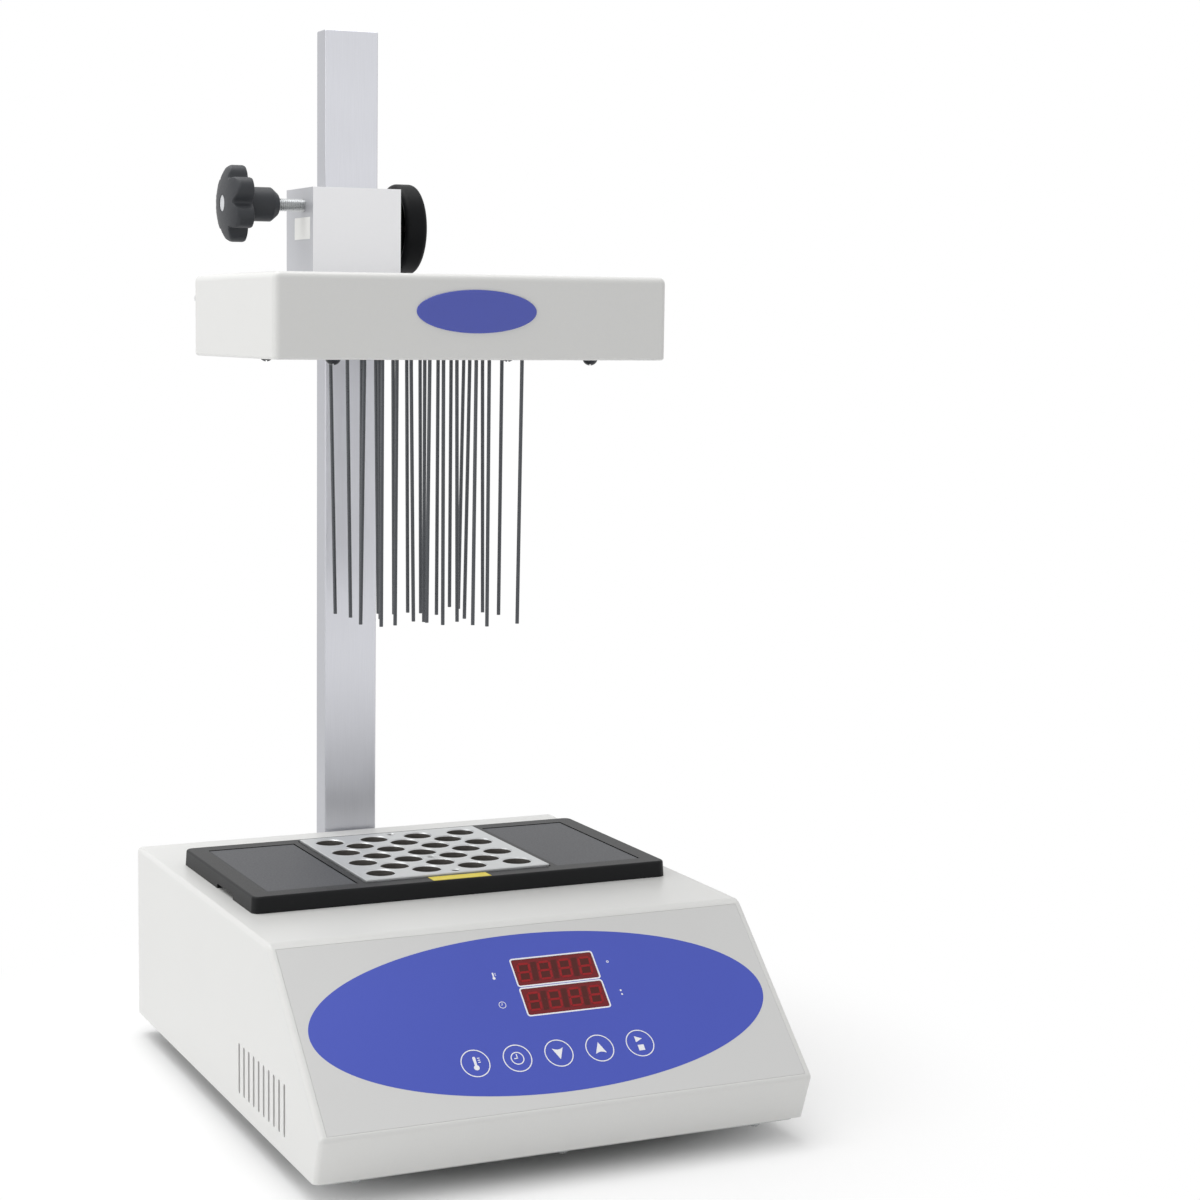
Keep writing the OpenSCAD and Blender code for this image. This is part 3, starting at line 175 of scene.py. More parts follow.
def grained(name, colour, rough, grain, relief, shade=0.06, stretch=(1, 1, 1), **inputs):
    """A material with one fine grain, in millimetres, in its colour, gloss and relief."""
    material = bpy.data.materials.new(name)
    material.use_nodes = True
    tree = material.node_tree
    shader = tree.nodes["Principled BSDF"]
    for socket, value in inputs.items():
        shader.inputs[socket.replace("_", " ")].default_value = value
    spot = add(tree, "ShaderNodeTexCoord").outputs["Object"]
    scaled = add(tree, "ShaderNodeMapping", {"Scale": stretch}, {"Vector": spot}).outputs[0]
    grains = {"Scale": 1 / (grain * MM), "Detail": 3.0, "Roughness": 0.6}
    fine = add(tree, "ShaderNodeTexNoise", grains, {"Vector": scaled}).outputs[0]
    soft = add(tree, "ShaderNodeTexNoise", {"Scale": 1 / cloud, "Detail": 2.0}, {"Vector": spot}).outputs[0]
    both = add(tree, "ShaderNodeMath", {"operation": "ADD"}, {0: fine, 1: soft}).outputs[0]
    low, high = linear(colour), linear(colour)
    low[:3] = [c * (1 - shade) for c in low[:3]]
    high[:3] = [min(1, c * (1 + shade)) for c in high[:3]]
    tint = add(tree, "ShaderNodeMapRange", {"From Min": 0.6, "From Max": 1.4}, {"Value": both})
    tinted = add(tree, "ShaderNodeMix", {"data_type": "RGBA", 6: low, 7: high}, {0: tint.outputs[0]})
    glosses = {"From Min": 0.3, "From Max": 0.7, "To Min": rough * 0.88, "To Max": rough * 1.12}
    gloss = add(tree, "ShaderNodeMapRange", glosses, {"Value": fine})
    bump = add(tree, "ShaderNodeBump", {"Strength": 1.0, "Distance": relief * MM}, {"Height": fine})
    tree.links.new(tinted.outputs[2], shader.inputs["Base Color"])
    tree.links.new(gloss.outputs[0], shader.inputs["Roughness"])
    tree.links.new(bump.outputs[0], shader.inputs["Normal"])
    return material


# Polyester powder coat, sprayed and baked: an even satin skin with a faint orange peel, whose
# waves are about 1.5 mm long.
powder_coat = grained("powder coated steel", "#dddddb", 0.36, 1.5, 0.012, shade=0.012)

ALONG_X = Matrix(((0, 0, 1, 0), (1, 0, 0, 0), (0, 1, 0, 0), (0, 0, 0, 1)))  # X to Y, Y to Z, Z to X
crease = math.radians(32)  # an edge that turns more than this is a corner
merge_gap = 1e-6  # metres: points closer than this are one
face_gap = 1e-5  # metres: a point closer to a face than this lies on it


def put(bm, place):
    """bm, turned and moved by a matrix."""
    bmesh.ops.transform(bm, matrix=place, verts=bm.verts)
    return bm


def mm(*sizes):
    """Sizes given in millimetres, as metres."""
    return [size * MM for size in sizes]


def facing(direction, place):
    """A matrix that turns Z to a direction and moves to a place."""
    turn = Vector(direction).to_track_quat("Z", "Y").to_matrix().to_4x4()
    return Matrix.Translation(Vector(place)) @ turn


def drawn(outline, height, place=None, corners=None):
    """An outline drawn out along Z, then put in place. corners gives the setback of round ones."""
    bm = bmesh.new()
    points = [bm.verts.new((x, y, 0)) for x, y in outline]
    bm.faces.new(points)
    for index, setback in (corners or {}).items():
        bmesh.ops.bevel(
            bm, geom=[points[index]], offset=setback, affect="VERTICES", segments=7, profile=0.5, material=-1
        )
    made = bmesh.ops.extrude_face_region(bm, geom=bm.faces[:])["geom"]
    moved = [part for part in made if isinstance(part, bmesh.types.BMVert)]
    bmesh.ops.translate(bm, vec=(0, 0, height), verts=moved)
    put(bm, place or Matrix())
    bmesh.ops.recalc_face_normals(bm, faces=bm.faces)
    return bm


def joined(*parts):
    """One bmesh of several, which are used up."""
    whole = bmesh.new()
    for part in parts:
        mesh = mesh_of(part)
        whole.from_mesh(mesh)
        bpy.data.meshes.remove(mesh)
    return whole


def box(low, high):
    """A box between two corners."""
    bm = bmesh.new()
    low, high = Vector(low), Vector(high)
    place = Matrix.Translation((low + high) / 2) @ Matrix.Diagonal((*(high - low), 1))
    bmesh.ops.create_cube(bm, size=1, matrix=place)
    return bm


def slab(w, d, low, high, centre=(0, 0)):
    """A box of a width and a depth round a centre, between two heights."""
    x, y = centre
    return box((x - w / 2, y - d / 2, low), (x + w / 2, y + d / 2, high))


def rectangle(w, h, centre=(0, 0)):
    """The outline of a rectangle."""
    return [(centre[0] + a * w / 2, centre[1] + b * h / 2) for a, b in ((-1, -1), (1, -1), (1, 1), (-1, 1))]


def rounded_plate(w, h, r, low, high, centre=(0, 0), place=None):
    """A flat rectangle with round corners between two heights, then put in place."""
    lifted = (place or Matrix()) @ Matrix.Translation((*centre, low))
    return drawn(rectangle(w, h), high - low, lifted, {k: r for k in range(4)})


def rod(radius, start, end, sides=32):
    """A round rod from start to end."""
    bm = bmesh.new()
    start, end = Vector(start), Vector(end)
    size = {"radius1": radius, "radius2": radius, "depth": (end - start).length}
    place = facing(end - start, (start + end) / 2)
    bmesh.ops.create_cone(bm, cap_ends=True, segments=sides, matrix=place, **size)
    return bm


def modified(bm, kind, **settings):
    """bm after one modifier, applied."""
    mesh = mesh_of(bm)
    draft = shown("draft", mesh)
    modifier = draft.modifiers.new(kind, kind)
    for name, value in settings.items():
        setattr(modifier, name, value)
    done = bmesh.new()
    done.from_object(draft, bpy.context.evaluated_depsgraph_get())
    bpy.data.objects.remove(draft)
    bpy.data.meshes.remove(mesh)
    return done


def without(bm, *cutters):
    """bm with the cutters' closed forms taken out of it."""
    mesh = mesh_of(joined(*cutters))
    tool = shown("cutter", mesh)
    done = modified(bm, "BOOLEAN", object=tool, operation="DIFFERENCE", solver="EXACT", use_self=True)
    bpy.data.objects.remove(tool)
    bpy.data.meshes.remove(mesh)
    return done


def sharp(bm, where=lambda edge: True):
    """The edges with a corner in them, of those that pass a test."""
    return [
        edge
        for edge in bm.edges
        if len(edge.link_faces) == 2 and edge.calc_face_angle(0) > crease and where(edge)
    ]


def soften(bm, radius, where=lambda edge: True, steps=3):
    """Rounds the corners that pass a test."""
    bmesh.ops.bevel(
        bm,
        geom=sharp(bm, where),
        offset=radius,
        offset_type="OFFSET",
        affect="EDGES",
        segments=steps,
        profile=0.5,
        clamp_overlap=True,
        material=-1,
    )
    return bm


def piece(name, bm, body, material, *replaced):
    """Ends a piece: faces turned out, corners creased, riding on its body."""
    bmesh.ops.remove_doubles(bm, verts=bm.verts, dist=merge_gap)
    bmesh.ops.recalc_face_normals(bm, faces=bm.faces)
    for face in bm.faces:
        face.smooth = True
    for edge in bm.edges:
        edge.smooth = len(edge.link_faces) == 2 and edge.calc_face_angle(0) < crease
    made = shown(name, mesh_of(bm, name))
    made.data.materials.append(material)
    made.modifiers.new("flat faces", "WEIGHTED_NORMAL").keep_sharp = True
    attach(made, body)
    if replaced:
        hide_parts(*replaced)
    return made


def paint(material, *nodes):
    """Gives CAD nodes that keep their shape a material."""
    for node in nodes:
        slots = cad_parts[node].data.materials
        slots.clear()
        slots.append(material)


sheet = 1.5 * MM
top_depth, nose_rise, lip_set = mm(187.5, 19, 7)
brow_setback, nose_setback = mm(2.4, 1.45)
side_round = 2.2 * MM
base_depth = 250 * MM
base_low, base_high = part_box("base_housing")
base_low.y = base_high.y - base_depth  # the nose's corner, before it is rounded
brow_y = base_high.y - top_depth
nose_z = base_low.z + nose_rise
slope_angle = math.atan2(base_high.z - nose_z, brow_y - base_low.y)
slope_length = math.hypot(base_high.z - nose_z, brow_y - base_low.y)
SLOPE = Matrix.Translation((0, brow_y, base_high.z)) @ Matrix.Rotation(slope_angle, 4, "X")

profile = [
    (base_high.y, base_low.z),
    (base_high.y, base_high.z),
    (brow_y, base_high.z),
    (base_low.y, nose_z),
    (base_low.y + lip_set, base_low.z),
]
shell = drawn(
    profile,
    base_high.x - base_low.x,
    Matrix.Translation((base_low.x, 0, 0)) @ ALONG_X,
    {2: brow_setback, -2: nose_setback},
)


def side_corner(edge):
    """Along the outline of a side wall, but not at the rear or the bottom."""
    a, b = (v.co for v in edge.verts)
    flat = abs(a.x - b.x) < merge_gap
    rear = min(a.y, b.y) > base_high.y - face_gap
    low = max(a.z, b.z) < base_low.z + face_gap
    return flat and not rear and not low


soften(shell, side_round, side_corner, steps=4)
face_middles = {face: face.calc_center_median() for face in shell.faces}
open_faces = [
    face
    for face, middle in face_middles.items()
    if middle.y > base_high.y - face_gap or middle.z < base_low.z + face_gap
]
bmesh.ops.delete(shell, geom=open_faces, context="FACES")
shell = modified(shell, "SOLIDIFY", thickness=sheet, offset=-1, use_even_offset=True)

vent_count, vent_pitch = 10, 6.3 * MM
vent_w, vent_h, vent_round = mm(2, 21, 0.998)
vent_y, vent_z = base_low.y + 41 * MM, base_low.z + 7.7 * MM + vent_h / 2
punch = 4 * MM  # how far the vents are cut to either side of a wall's outer face
cutters = []
for side in (base_low.x, base_high.x):
    on_side = Matrix.Translation((side, 0, 0)) @ ALONG_X
    for i in range(vent_count):
        centre = (vent_y + i * vent_pitch, vent_z)
        cutters.append(rounded_plate(vent_w, vent_h, vent_round, -punch, punch, centre, on_side))

well_low, well_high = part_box("heater_well")
hole_w = well_high.y - well_low.y + 3 * MM
block_low, block_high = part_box("heating_block")
work_y = (block_low.y + block_high.y) / 2
cutters.append(slab(hole_w, hole_w, base_high.z - 2 * sheet, base_high.z + sheet, (0, work_y)))

window_w, window_h = mm(35.6, 12)
window_x, window_s, window_pitch = mm(10.8, 24.3, 13.5)
window_places = [(window_x, -window_s), (window_x, -window_s - window_pitch)]
key_d, key_gap, key_pitch, key_s = mm(11.2, 0.3, 17.75, 61.8)
key_names = ("temp", "time", "down", "up", "start")
key_places = [((i - 2) * key_pitch, -key_s) for i in range(len(key_names))]


def on_slope(bm):
    """Puts a form that was made flat onto the slope: X right, Y up the slope, Z out of it."""
    return put(bm, SLOPE)


def panel_holes(margin, depth):
    """Cutters through the panel for the windows, margin larger than them, and for the keys."""
    w, h, r = window_w + 2 * margin, window_h + 2 * margin, key_d / 2 + key_gap
    holes = [slab(w, h, -depth, depth, centre) for centre in window_places]
    holes += [rod(r, (x, y, -depth), (x, y, depth), 40) for x, y in key_places]
    return [on_slope(hole) for hole in holes]


film_t = 0.6 * MM
film_side = 3 * MM
film_top, film_end = 2.5 * MM, slope_length - 1.6 * MM
seat = on_slope(
    box((base_low.x + film_side, -film_end, -film_t), (base_high.x - film_side, -film_top, 5 * MM))
)
shell = without(shell, seat, *cutters, *panel_holes(-0.5 * MM, 3 * sheet))

flange = 11 * MM
inner_x = base_high.x - sheet
flange_y, flange_top = base_low.y + lip_set + sheet, base_low.z + sheet
flanges = [
    box((low, flange_y, base_low.z), (low + flange, base_high.y - sheet, flange_top))
    for low in (-inner_x, inner_x - flange)
]
flanges.append(
    box((flange - inner_x, flange_y, base_low.z), (inner_x - flange, flange_y + flange, flange_top))
)
piece("housing", joined(shell, *flanges), "base", powder_coat, "base_housing")

# ---- Underside ----
# A galvanised bottom plate closes the housing, held by screws whose heads stand below it. Four
# moulded rubber feet are screwed to it.

# Zinc, hot dipped: dull grey with soft crystal patches about 8 mm across.
zinc_sheet = grained("galvanised sheet", "#b9bbba", 0.45, 8, 0.01, shade=0.10, Metallic=0.8)
# Zinc plate on steel: bright with a fine drag from the die.
zinc_plate = grained("zinc plated steel", "#c3c5c6", 0.28, 0.4, 0.01, shade=0.08, Metallic=1.0)
# Natural rubber, moulded: matt black, greyed by dust in a 1 mm grain.
rubber = grained("moulded rubber", "#26272a", 0.85, 1.0, 0.05, shade=0.15)
paint(powder_coat, "rear_panel")
paint(zinc_sheet, "bottom_plate")
paint(rubber, "rubber_feet")
paint(zinc_plate, "foot_screws")


def turned(outline, place=None, steps=40):
    """A turned form: an outline of (radius, height) points spun round Z, then put in place."""
    bm = bmesh.new()
    points = [bm.verts.new((r, 0, h)) for r, h in outline]
    edges = [bm.edges.new(pair) for pair in zip(points, points[1:])]
    bmesh.ops.spin(
        bm,
        geom=points + edges,
        cent=(0, 0, 0),
        axis=(0, 0, 1),
        angle=2 * math.pi,
        steps=steps,
        use_merge=True,
    )
    bmesh.ops.remove_doubles(bm, verts=bm.verts, dist=merge_gap)
    put(bm, place or Matrix())
    bmesh.ops.recalc_face_normals(bm, faces=bm.faces)
    return bm


def arc(centre, radius, start, end, steps):
    """Points of a round stretch of an outline, between two angles in degrees."""
    turn = [math.radians(start + (end - start) * i / steps) for i in range(steps + 1)]
    return [(centre[0] + radius * math.cos(a), centre[1] + radius * math.sin(a)) for a in turn]


def pan_screws(places, shank_d, head_d, head_h, shank_l):
    """Screws driven up from below: domed heads with a cross slot, whose seats are at the places."""
    shanks, heads, slots = [], [], []
    dome = (head_d**2 / 4 + head_h**2) / (2 * head_h)
    rim = math.degrees(math.asin(head_d / 2 / dome))
    outline = [(0, 0)] + arc((0, head_h - dome), dome, 90 - rim, 90, 6)
    slot_l, slot_w = head_d * 0.6, head_h * 0.28
    for x, y, z in places:
        seat = facing((0, 0, -1), (x, y, z))
        heads.append(turned(outline, seat, 24))
        shanks.append(rod(shank_d / 2, (x, y, z), (x, y, z + shank_l), 20))
        for turn in (20, 110):
            slot = slab(slot_l, slot_w, head_h * 0.5, head_h * 2)
            slots.append(put(slot, seat @ Matrix.Rotation(math.radians(turn), 4, "Z")))
    return joined(without(joined(*heads), *slots), *shanks)


plate_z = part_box("bottom_plate")[0].z
screw_x = 86 * MM
screw_y = (base_low.y + lip_set + 6.5 * MM, base_high.y - 7 * MM)
side_screw_y = (base_low.y + 31 * MM, (base_low.y + base_high.y) / 2 + 20 * MM)
screw_places = [(x * screw_x, y, plate_z) for x in (-1, 0, 1) for y in screw_y]
screw_places += [(x * (inner_x - flange / 2), y, plate_z) for x in (-1, 1) for y in side_screw_y]
bottom_set = pan_screws(screw_places, 3.1 * MM, 5.6 * MM, 2.2 * MM, 6 * MM)
piece("bottom_screw_set", bottom_set, "base", zinc_plate, "bottom_screws")

# ---- Printed film ----
# The panel is a polyester film, grey, laid in the slope's seat. A blue oval is screen printed on
# it, with white outlines round the windows and the keys, whose rings bridge the keys' edges.

# Polyester film, embossed with a matt grain of about 0.5 mm.
matt_film = grained("embossed polyester film", "#d3d3d2", 0.42, 0.5, 0.006, shade=0.01)
# Screen printed ink, under the same grain.
blue_ink = grained("blue screen ink", "#3f50b8", 0.40, 0.5, 0.006, shade=0.03)
white_ink = grained("white screen ink", "#f1f1f6", 0.5, 0.5, 0.004, shade=0.01)
film_gap = 0.1 * MM
film_w = base_high.x - base_low.x - 2 * (film_side + film_gap)
film_h = film_end - film_top - 2 * film_gap
film = on_slope(slab(film_w, film_h, -film_t, 0, (0, -(film_end + film_top) / 2)))
piece("panel_film", without(film, *panel_holes(0, 2 * MM)), "base", matt_film, "front_overlay")

ink_t = 0.04 * MM
oval_w, oval_h, oval_s = mm(196.6, 72, 42.6)
oval = put(
    rod(0.5, (0, 0, -0.5), (0, 0, 0.5), 160),
    Matrix.Translation((0, -oval_s, ink_t / 2)) @ Matrix.Diagonal((oval_w, oval_h, ink_t, 1)),
)
piece("oval_print", without(on_slope(oval), *panel_holes(0, 2 * MM)), "base", blue_ink)


def band(inner, outer, height, place, steps=40):
    """A flat ring between two radii, then put in place."""
    outline = [(inner, 0), (outer, 0), (outer, height), (inner, height), (inner, 0)]
    return turned(outline, place, steps)


line_w, ring_w = mm(0.6, 0.42)
ring_in = key_d / 2 - 0.02 * MM
lines = []
for centre in window_places:
    outer = rounded_plate(window_w + 2 * line_w, window_h + 2 * line_w, 1.3 * MM, 0, 2 * ink_t, centre)
    inner = rounded_plate(window_w, window_h, 0.8 * MM, -ink_t, 3 * ink_t, centre)
    lines.append(without(outer, inner))
for x, y in key_places:
    lines.append(band(ring_in, ring_in + ring_w, 2 * ink_t, Matrix.Translation((x, y, ink_t)), 64))
piece("white_outlines", on_slope(joined(*lines)), "base", white_ink)

# ---- Display windows ----
# Two plates of red acrylic lie in the film, each over a four digit LED module. The digits are
# off: their segments show a little lighter than the plate, and the module's black face shows
# through as brown patches between the digits and inside their loops.

# Cast acrylic, dyed red: polished, nearly opaque with the module behind it.
red_acrylic = grained("red acrylic", "#74131a", 0.16, 3, 0.002, shade=0.03, Specular_IOR_Level=0.3)
# The module's black face and its unlit segments, as the red plate tints them.
brown_patch = grained(
    "module face behind acrylic", "#55201d", 0.25, 3, 0.002, shade=0.05, Specular_IOR_Level=0.2
)
unlit_segment = grained(
    "unlit segment behind acrylic", "#981d22", 0.22, 3, 0.002, shade=0.03, Specular_IOR_Level=0.2
)
lens_t, glass_top = mm(1.2, -0.1)
plates = [
    rounded_plate(window_w - inset, window_h - inset, r, low, high, centre)
    for inset, r, low, high in (
        (0.2 * MM, 0.8 * MM, -film_t, glass_top),
        (1.4 * MM, 0.5 * MM, -film_t - lens_t, -film_t),
    )
    for centre in window_places
]
piece("red_windows", on_slope(joined(*plates)), "base", red_acrylic, "display_windows")

digits, digit_w, digit_h, digit_pitch, digit_lean = 4, 5.8 * MM, 8.6 * MM, 9.0 * MM, 0.12
bar_w, bar_t, bar_gap, patch_gap = mm(0.95, 0.03, 0.12, 0.4)


def digit_part(outline, centre, thickness):
    """A flat part of a digit, leaned to the right and laid on the glass at the digit's centre."""
    leaned = [(centre[0] + x + y * digit_lean, centre[1] + y) for x, y in outline]
    return drawn(leaned, thickness, Matrix.Translation((0, 0, glass_top)))


def segment_bar(centre, upright, length):
    """A six-sided bar of a digit: long points, mitred at 45 degrees."""
    half, tip = length / 2 - bar_gap, bar_w / 2
    outline = [(-half, 0), (-half + tip, -tip), (half - tip, -tip)]
    outline += [(-x, -y) for x, y in outline]
    if upright:
        outline = [(-y, x) for x, y in outline]
    return [(centre[0] + x, centre[1] + y) for x, y in outline]


segments, patches = [], []
cell_w, cell_h = digit_w - bar_w, (digit_h - bar_w) / 2
for wx, wy in window_places:
    for i in range(digits):
        centre = (wx + (i - (digits - 1) / 2) * digit_pitch, wy)
        bars = [segment_bar((0, k * cell_h), False, cell_w) for k in (-1, 0, 1)]
        for j in (-1, 1):
            bars += [segment_bar((j * cell_w / 2, k * cell_h / 2), True, cell_h) for k in (-1, 1)]
        segments += [digit_part(outline, centre, 2 * bar_t) for outline in bars]
        for k in (-1, 1):
            loop = rectangle(cell_w - bar_w, cell_h - bar_w, (0, k * cell_h / 2))
            patches.append(digit_part(loop, centre, bar_t))
        if i < digits - 1:
            strip = rectangle(digit_pitch - digit_w - 2 * patch_gap, digit_h)
            patches.append(digit_part(strip, (centre[0] + digit_pitch / 2, wy), bar_t))
piece("digit_segments", on_slope(joined(*segments)), "base", unlit_segment)
piece("digit_patches", on_slope(joined(*patches)), "base", brown_patch)

# ---- Boards behind the panel ----
# A glass-epoxy board on nylon pillars carries the LED modules and the key switches.

# Glass-epoxy laminate: green lacquer over a 0.5 mm glass weave.
board_green = grained("glass epoxy board", "#2f6b45", 0.35, 0.5, 0.004, shade=0.12, Coat_Weight=0.4)
# Natural nylon, moulded: milky and smooth.
nylon = grained("natural nylon", "#d8d5c6", 0.4, 2, 0.01, shade=0.03)
# Black moulded ABS: a dense spark-eroded grain of 0.4 mm that greys the gloss.
black_abs = grained("moulded black ABS", "#0f1012", 0.42, 0.4, 0.008, shade=0.1, Specular_IOR_Level=0.2)
# Potting epoxy: nearly black, with a red cast.
dark_epoxy = grained("dark potting epoxy", "#2a1012", 0.4, 1, 0.004, shade=0.1)
paint(board_green, "control_board", "power_board")
paint(nylon, "standoffs")
paint(black_abs, "key_switches")
paint(dark_epoxy, "led_displays")

# ---- Keys ----
# Each key is a disc of the printed film over a push switch. White symbols are printed on the
# discs: a thermometer, a clock, two arrow heads, and a start and stop sign. Smaller ones are
# printed beside the windows.
paint(blue_ink, *["key_" + name for name in key_names])
symbol_t = 1.5 * ink_t


def flat(outline, centre, scale=1.0):
    """A printed shape: an outline in millimetres, in white ink on the slope."""
    points = [(centre[0] + x * scale * MM, centre[1] + y * scale * MM) for x, y in outline]
    return drawn(points, symbol_t)


def stroke(a, b, width):
    """The outline of a straight stroke from a to b."""
    a, b = Vector(a), Vector(b)
    side = (b - a).normalized().orthogonal() * width / 2
    return [tuple(p) for p in (a - side, b - side, b + side, a + side)]


def ring(radius, width, centre, scale=1.0):
    """A printed ring."""
    r, w = radius * scale * MM, width * scale * MM
    return band(r - w, r, symbol_t, Matrix.Translation((*centre, 0)), 48)


def thermometer(centre, scale=1.0):
    """A bulb below a stem, with three short marks beside it."""
    tube = arc((0, 2.3), 0.62, 0, 180, 12) + arc((0, -1.9), 1.15, 115, 425, 24)
    marks = [stroke((1.3, y), (2.3, y), 0.36) for y in (0.3, 1.2, 2.1)]
    return [flat(outline, centre, scale) for outline in [tube, *marks]]


def clock(centre, scale=1.0):
    """A dial ring and two hands."""
    hands = [stroke((0, -0.2), (0, 1.9), 0.42), stroke((0.15, 0), (-1.35, 0), 0.42)]
    return [ring(2.8, 0.42, centre, scale)] + [flat(hand, centre, scale) for hand in hands]


def arrow_head(centre, up):
    """An arrow head with a hollow back."""
    tip = [(0, 2.7), (-2.35, -2.3), (-1.1, -1.75), (0, -1.55), (1.1, -1.75), (2.35, -2.3)]
    return [flat([(x, y * up) for x, y in tip], centre)]


def start_stop(centre):
    """A triangle over a square."""
    start = [(-1.5, 0.6), (1.5, 1.95), (-1.5, 3.3)]
    return [flat(start, centre), flat(rectangle(2.6, 2.5, (0, -1.95)), centre)]


symbols = {
    "temp": thermometer(key_places[0]),
    "time": clock(key_places[1]),
    "down": arrow_head(key_places[2], -1),
    "up": arrow_head(key_places[3], 1),
    "start": start_stop(key_places[4]),
}
for name, forms in symbols.items():
    piece("symbol_" + name, on_slope(joined(*forms)), "key_" + name, white_ink)
small = 0.55
beside = thermometer((-16.4 * MM, -24.6 * MM), small) + clock((-16.6 * MM, -37.9 * MM), small)
beside += [ring(1.0, 0.5, (34.4 * MM, -23.6 * MM), small)]
dot = arc((0, 0), 0.42, 0, 360, 16)[:-1]
beside += [flat(dot, (35.6 * MM, (-38.2 + dy) * MM)) for dy in (-0.9, 0.9)]
piece("symbols_beside_windows", on_slope(joined(*beside)), "base", white_ink)

# ---- Heater ----
# A folded aluminium well hangs in the housing, with a heated plate and a silicone heater mat
# under it and mineral wool round it.

# Aluminium sheet as rolled: fine streaks along the sheet.
rolled_sheet = grained(
    "rolled aluminium sheet", "#aeb1b3", 0.38, 0.5, 0.006, shade=0.06, stretch=(1, 0.1, 1), Metallic=1.0
)
# Silicone rubber, moulded: brick red and matt.
silicone = grained("silicone rubber", "#b5482f", 0.6, 1.5, 0.02, shade=0.05)
# Mineral wool: matted fibres in 2 mm tufts.
mineral_wool = grained(
    "mineral wool", "#cdc29c", 0.95, 2, 0.5, shade=0.2, stretch=(1, 1, 2.5), Sheen_Weight=0.3
)
# Bare steel from stock: a fine even drag.
plain_steel = grained("plain steel", "#97999b", 0.33, 0.4, 0.008, shade=0.08, Metallic=1.0)
paint(rolled_sheet, "heater_well", "heater_plate")
paint(silicone, "heater_mat", "needle_seal")
paint(mineral_wool, "insulation")
paint(plain_steel, "temperature_sensor", "nut_plate", "rack", "column_screws", "collar_screws", "arm_screws")

# ---- Top surround ----
# A black moulded frame lies on the housing round the block. Its top edge is rounded, its walls
# have a little draft, and two textured plates are let into it, with a fine groove round each.
frame_low, frame_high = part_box("top_frame")
frame_size = frame_high - frame_low
frame_mid = (frame_low + frame_high) / 2
frame_corner, frame_draft, frame_edge = mm(3.5, 0.3, 1.0)
wall_t = 2.8 * MM
well_in = well_high.y - work_y - 2 * MM  # half the opening for the block
surround = rounded_plate(
    frame_size.x, frame_size.y, frame_corner, frame_low.z, frame_high.z, frame_mid.xy
)
for vert in surround.verts:
    if vert.co.z > frame_mid.z:
        vert.co.x -= math.copysign(frame_draft, vert.co.x - frame_mid.x)
        vert.co.y -= math.copysign(frame_draft, vert.co.y - frame_mid.y)
soften(surround, frame_edge, lambda e: min(v.co.z for v in e.verts) > frame_high.z - face_gap, steps=4)
under_w, under_d = frame_size.x - 2 * wall_t, frame_size.y - 2 * wall_t
under = rounded_plate(
    under_w, under_d, 1.5 * MM, frame_low.z - MM, frame_high.z - wall_t, frame_mid.xy
)
opening = slab(2 * well_in, 2 * well_in, frame_low.z - MM, frame_high.z + MM, (0, work_y))
plate_boxes = {name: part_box(name) for name in ("left_cover_plate", "right_cover_plate")}
groove, plate_depth = mm(0.35, 1.0)
pockets = [
    box(
        (low.x - groove, low.y - groove, frame_high.z - plate_depth),
        (high.x + groove, high.y + groove, frame_high.z + MM),
    )
    for low, high in plate_boxes.values()
]
notch_w, notch_h, notch_s = mm(22, 2, 13)
notch = slab(
    2 * (wall_t + MM), notch_w, frame_low.z - MM, frame_low.z + notch_h, (frame_low.x, work_y - notch_s)
)
piece("surround", without(surround, under, opening, notch, *pockets), "base", black_abs, "top_frame")
# Textured ABS plate: a leather-like grain of about 0.8 mm that scatters the room's light.
textured_abs = grained("textured black ABS", "#35373c", 0.5, 0.8, 0.03, shade=0.1)


def top_of(edge):
    """Height of an edge's upper end."""
    return max(v.co.z for v in edge.verts)


for name, (low, high) in plate_boxes.items():
    plate = soften(box(low, high), 0.25 * MM, lambda e: top_of(e) > low.z + face_gap, 2)
    piece("inset_" + name, plate, "base", textured_abs, name)
# A plain strip of yellow vinyl is stuck on the rim before the block.
yellow_vinyl = grained("yellow vinyl", "#e8d32f", 0.45, 2, 0.01, shade=0.04)
strip_low = (-14.8 * MM, frame_low.y + 1.4 * MM, frame_high.z)
strip_high = (11.7 * MM, frame_low.y + 8 * MM, frame_high.z + 0.12 * MM)
piece("yellow_strip", box(strip_low, strip_high), "base", yellow_vinyl)

# ---- Heating block ----
# A cube of aluminium, milled all over and bored with the wells, whose mouths are chamfered.
# Three small holes take the lifting hooks. It stands loose in the heater's well.

# Milled and bead blasted aluminium: pale satin, with a cutter's faint lines 0.5 mm apart.
milled_aluminium = grained(
    "milled aluminium", "#c7c9ca", 0.40, 0.5, 0.006, shade=0.05, stretch=(0.15, 1, 1), Metallic=0.75
)
pitch, well_d, well_depth = mm(21.2, 12.4, 42)
lift_d, lift_depth, lift_edge = mm(3.5, 12, 4)
columns = 4
wells = [
    ((j - (columns - k % 2 - 1) / 2) * pitch, work_y + (3 - k) * pitch / 2)
    for k in range(2 * columns - 1)
    for j in range(columns - k % 2)
]
half_block = (block_high.y - block_low.y) / 2
lift_places = [(0, work_y + y) for y in (lift_edge - half_block, -pitch / 2, half_block - lift_edge)]
block = soften(box(block_low, block_high), 0.5 * MM, steps=2)
mouth = 0.5 * MM
bore_turn = 0.03  # radians, so that no facet of a bore is in line with a face of the block
bores = []
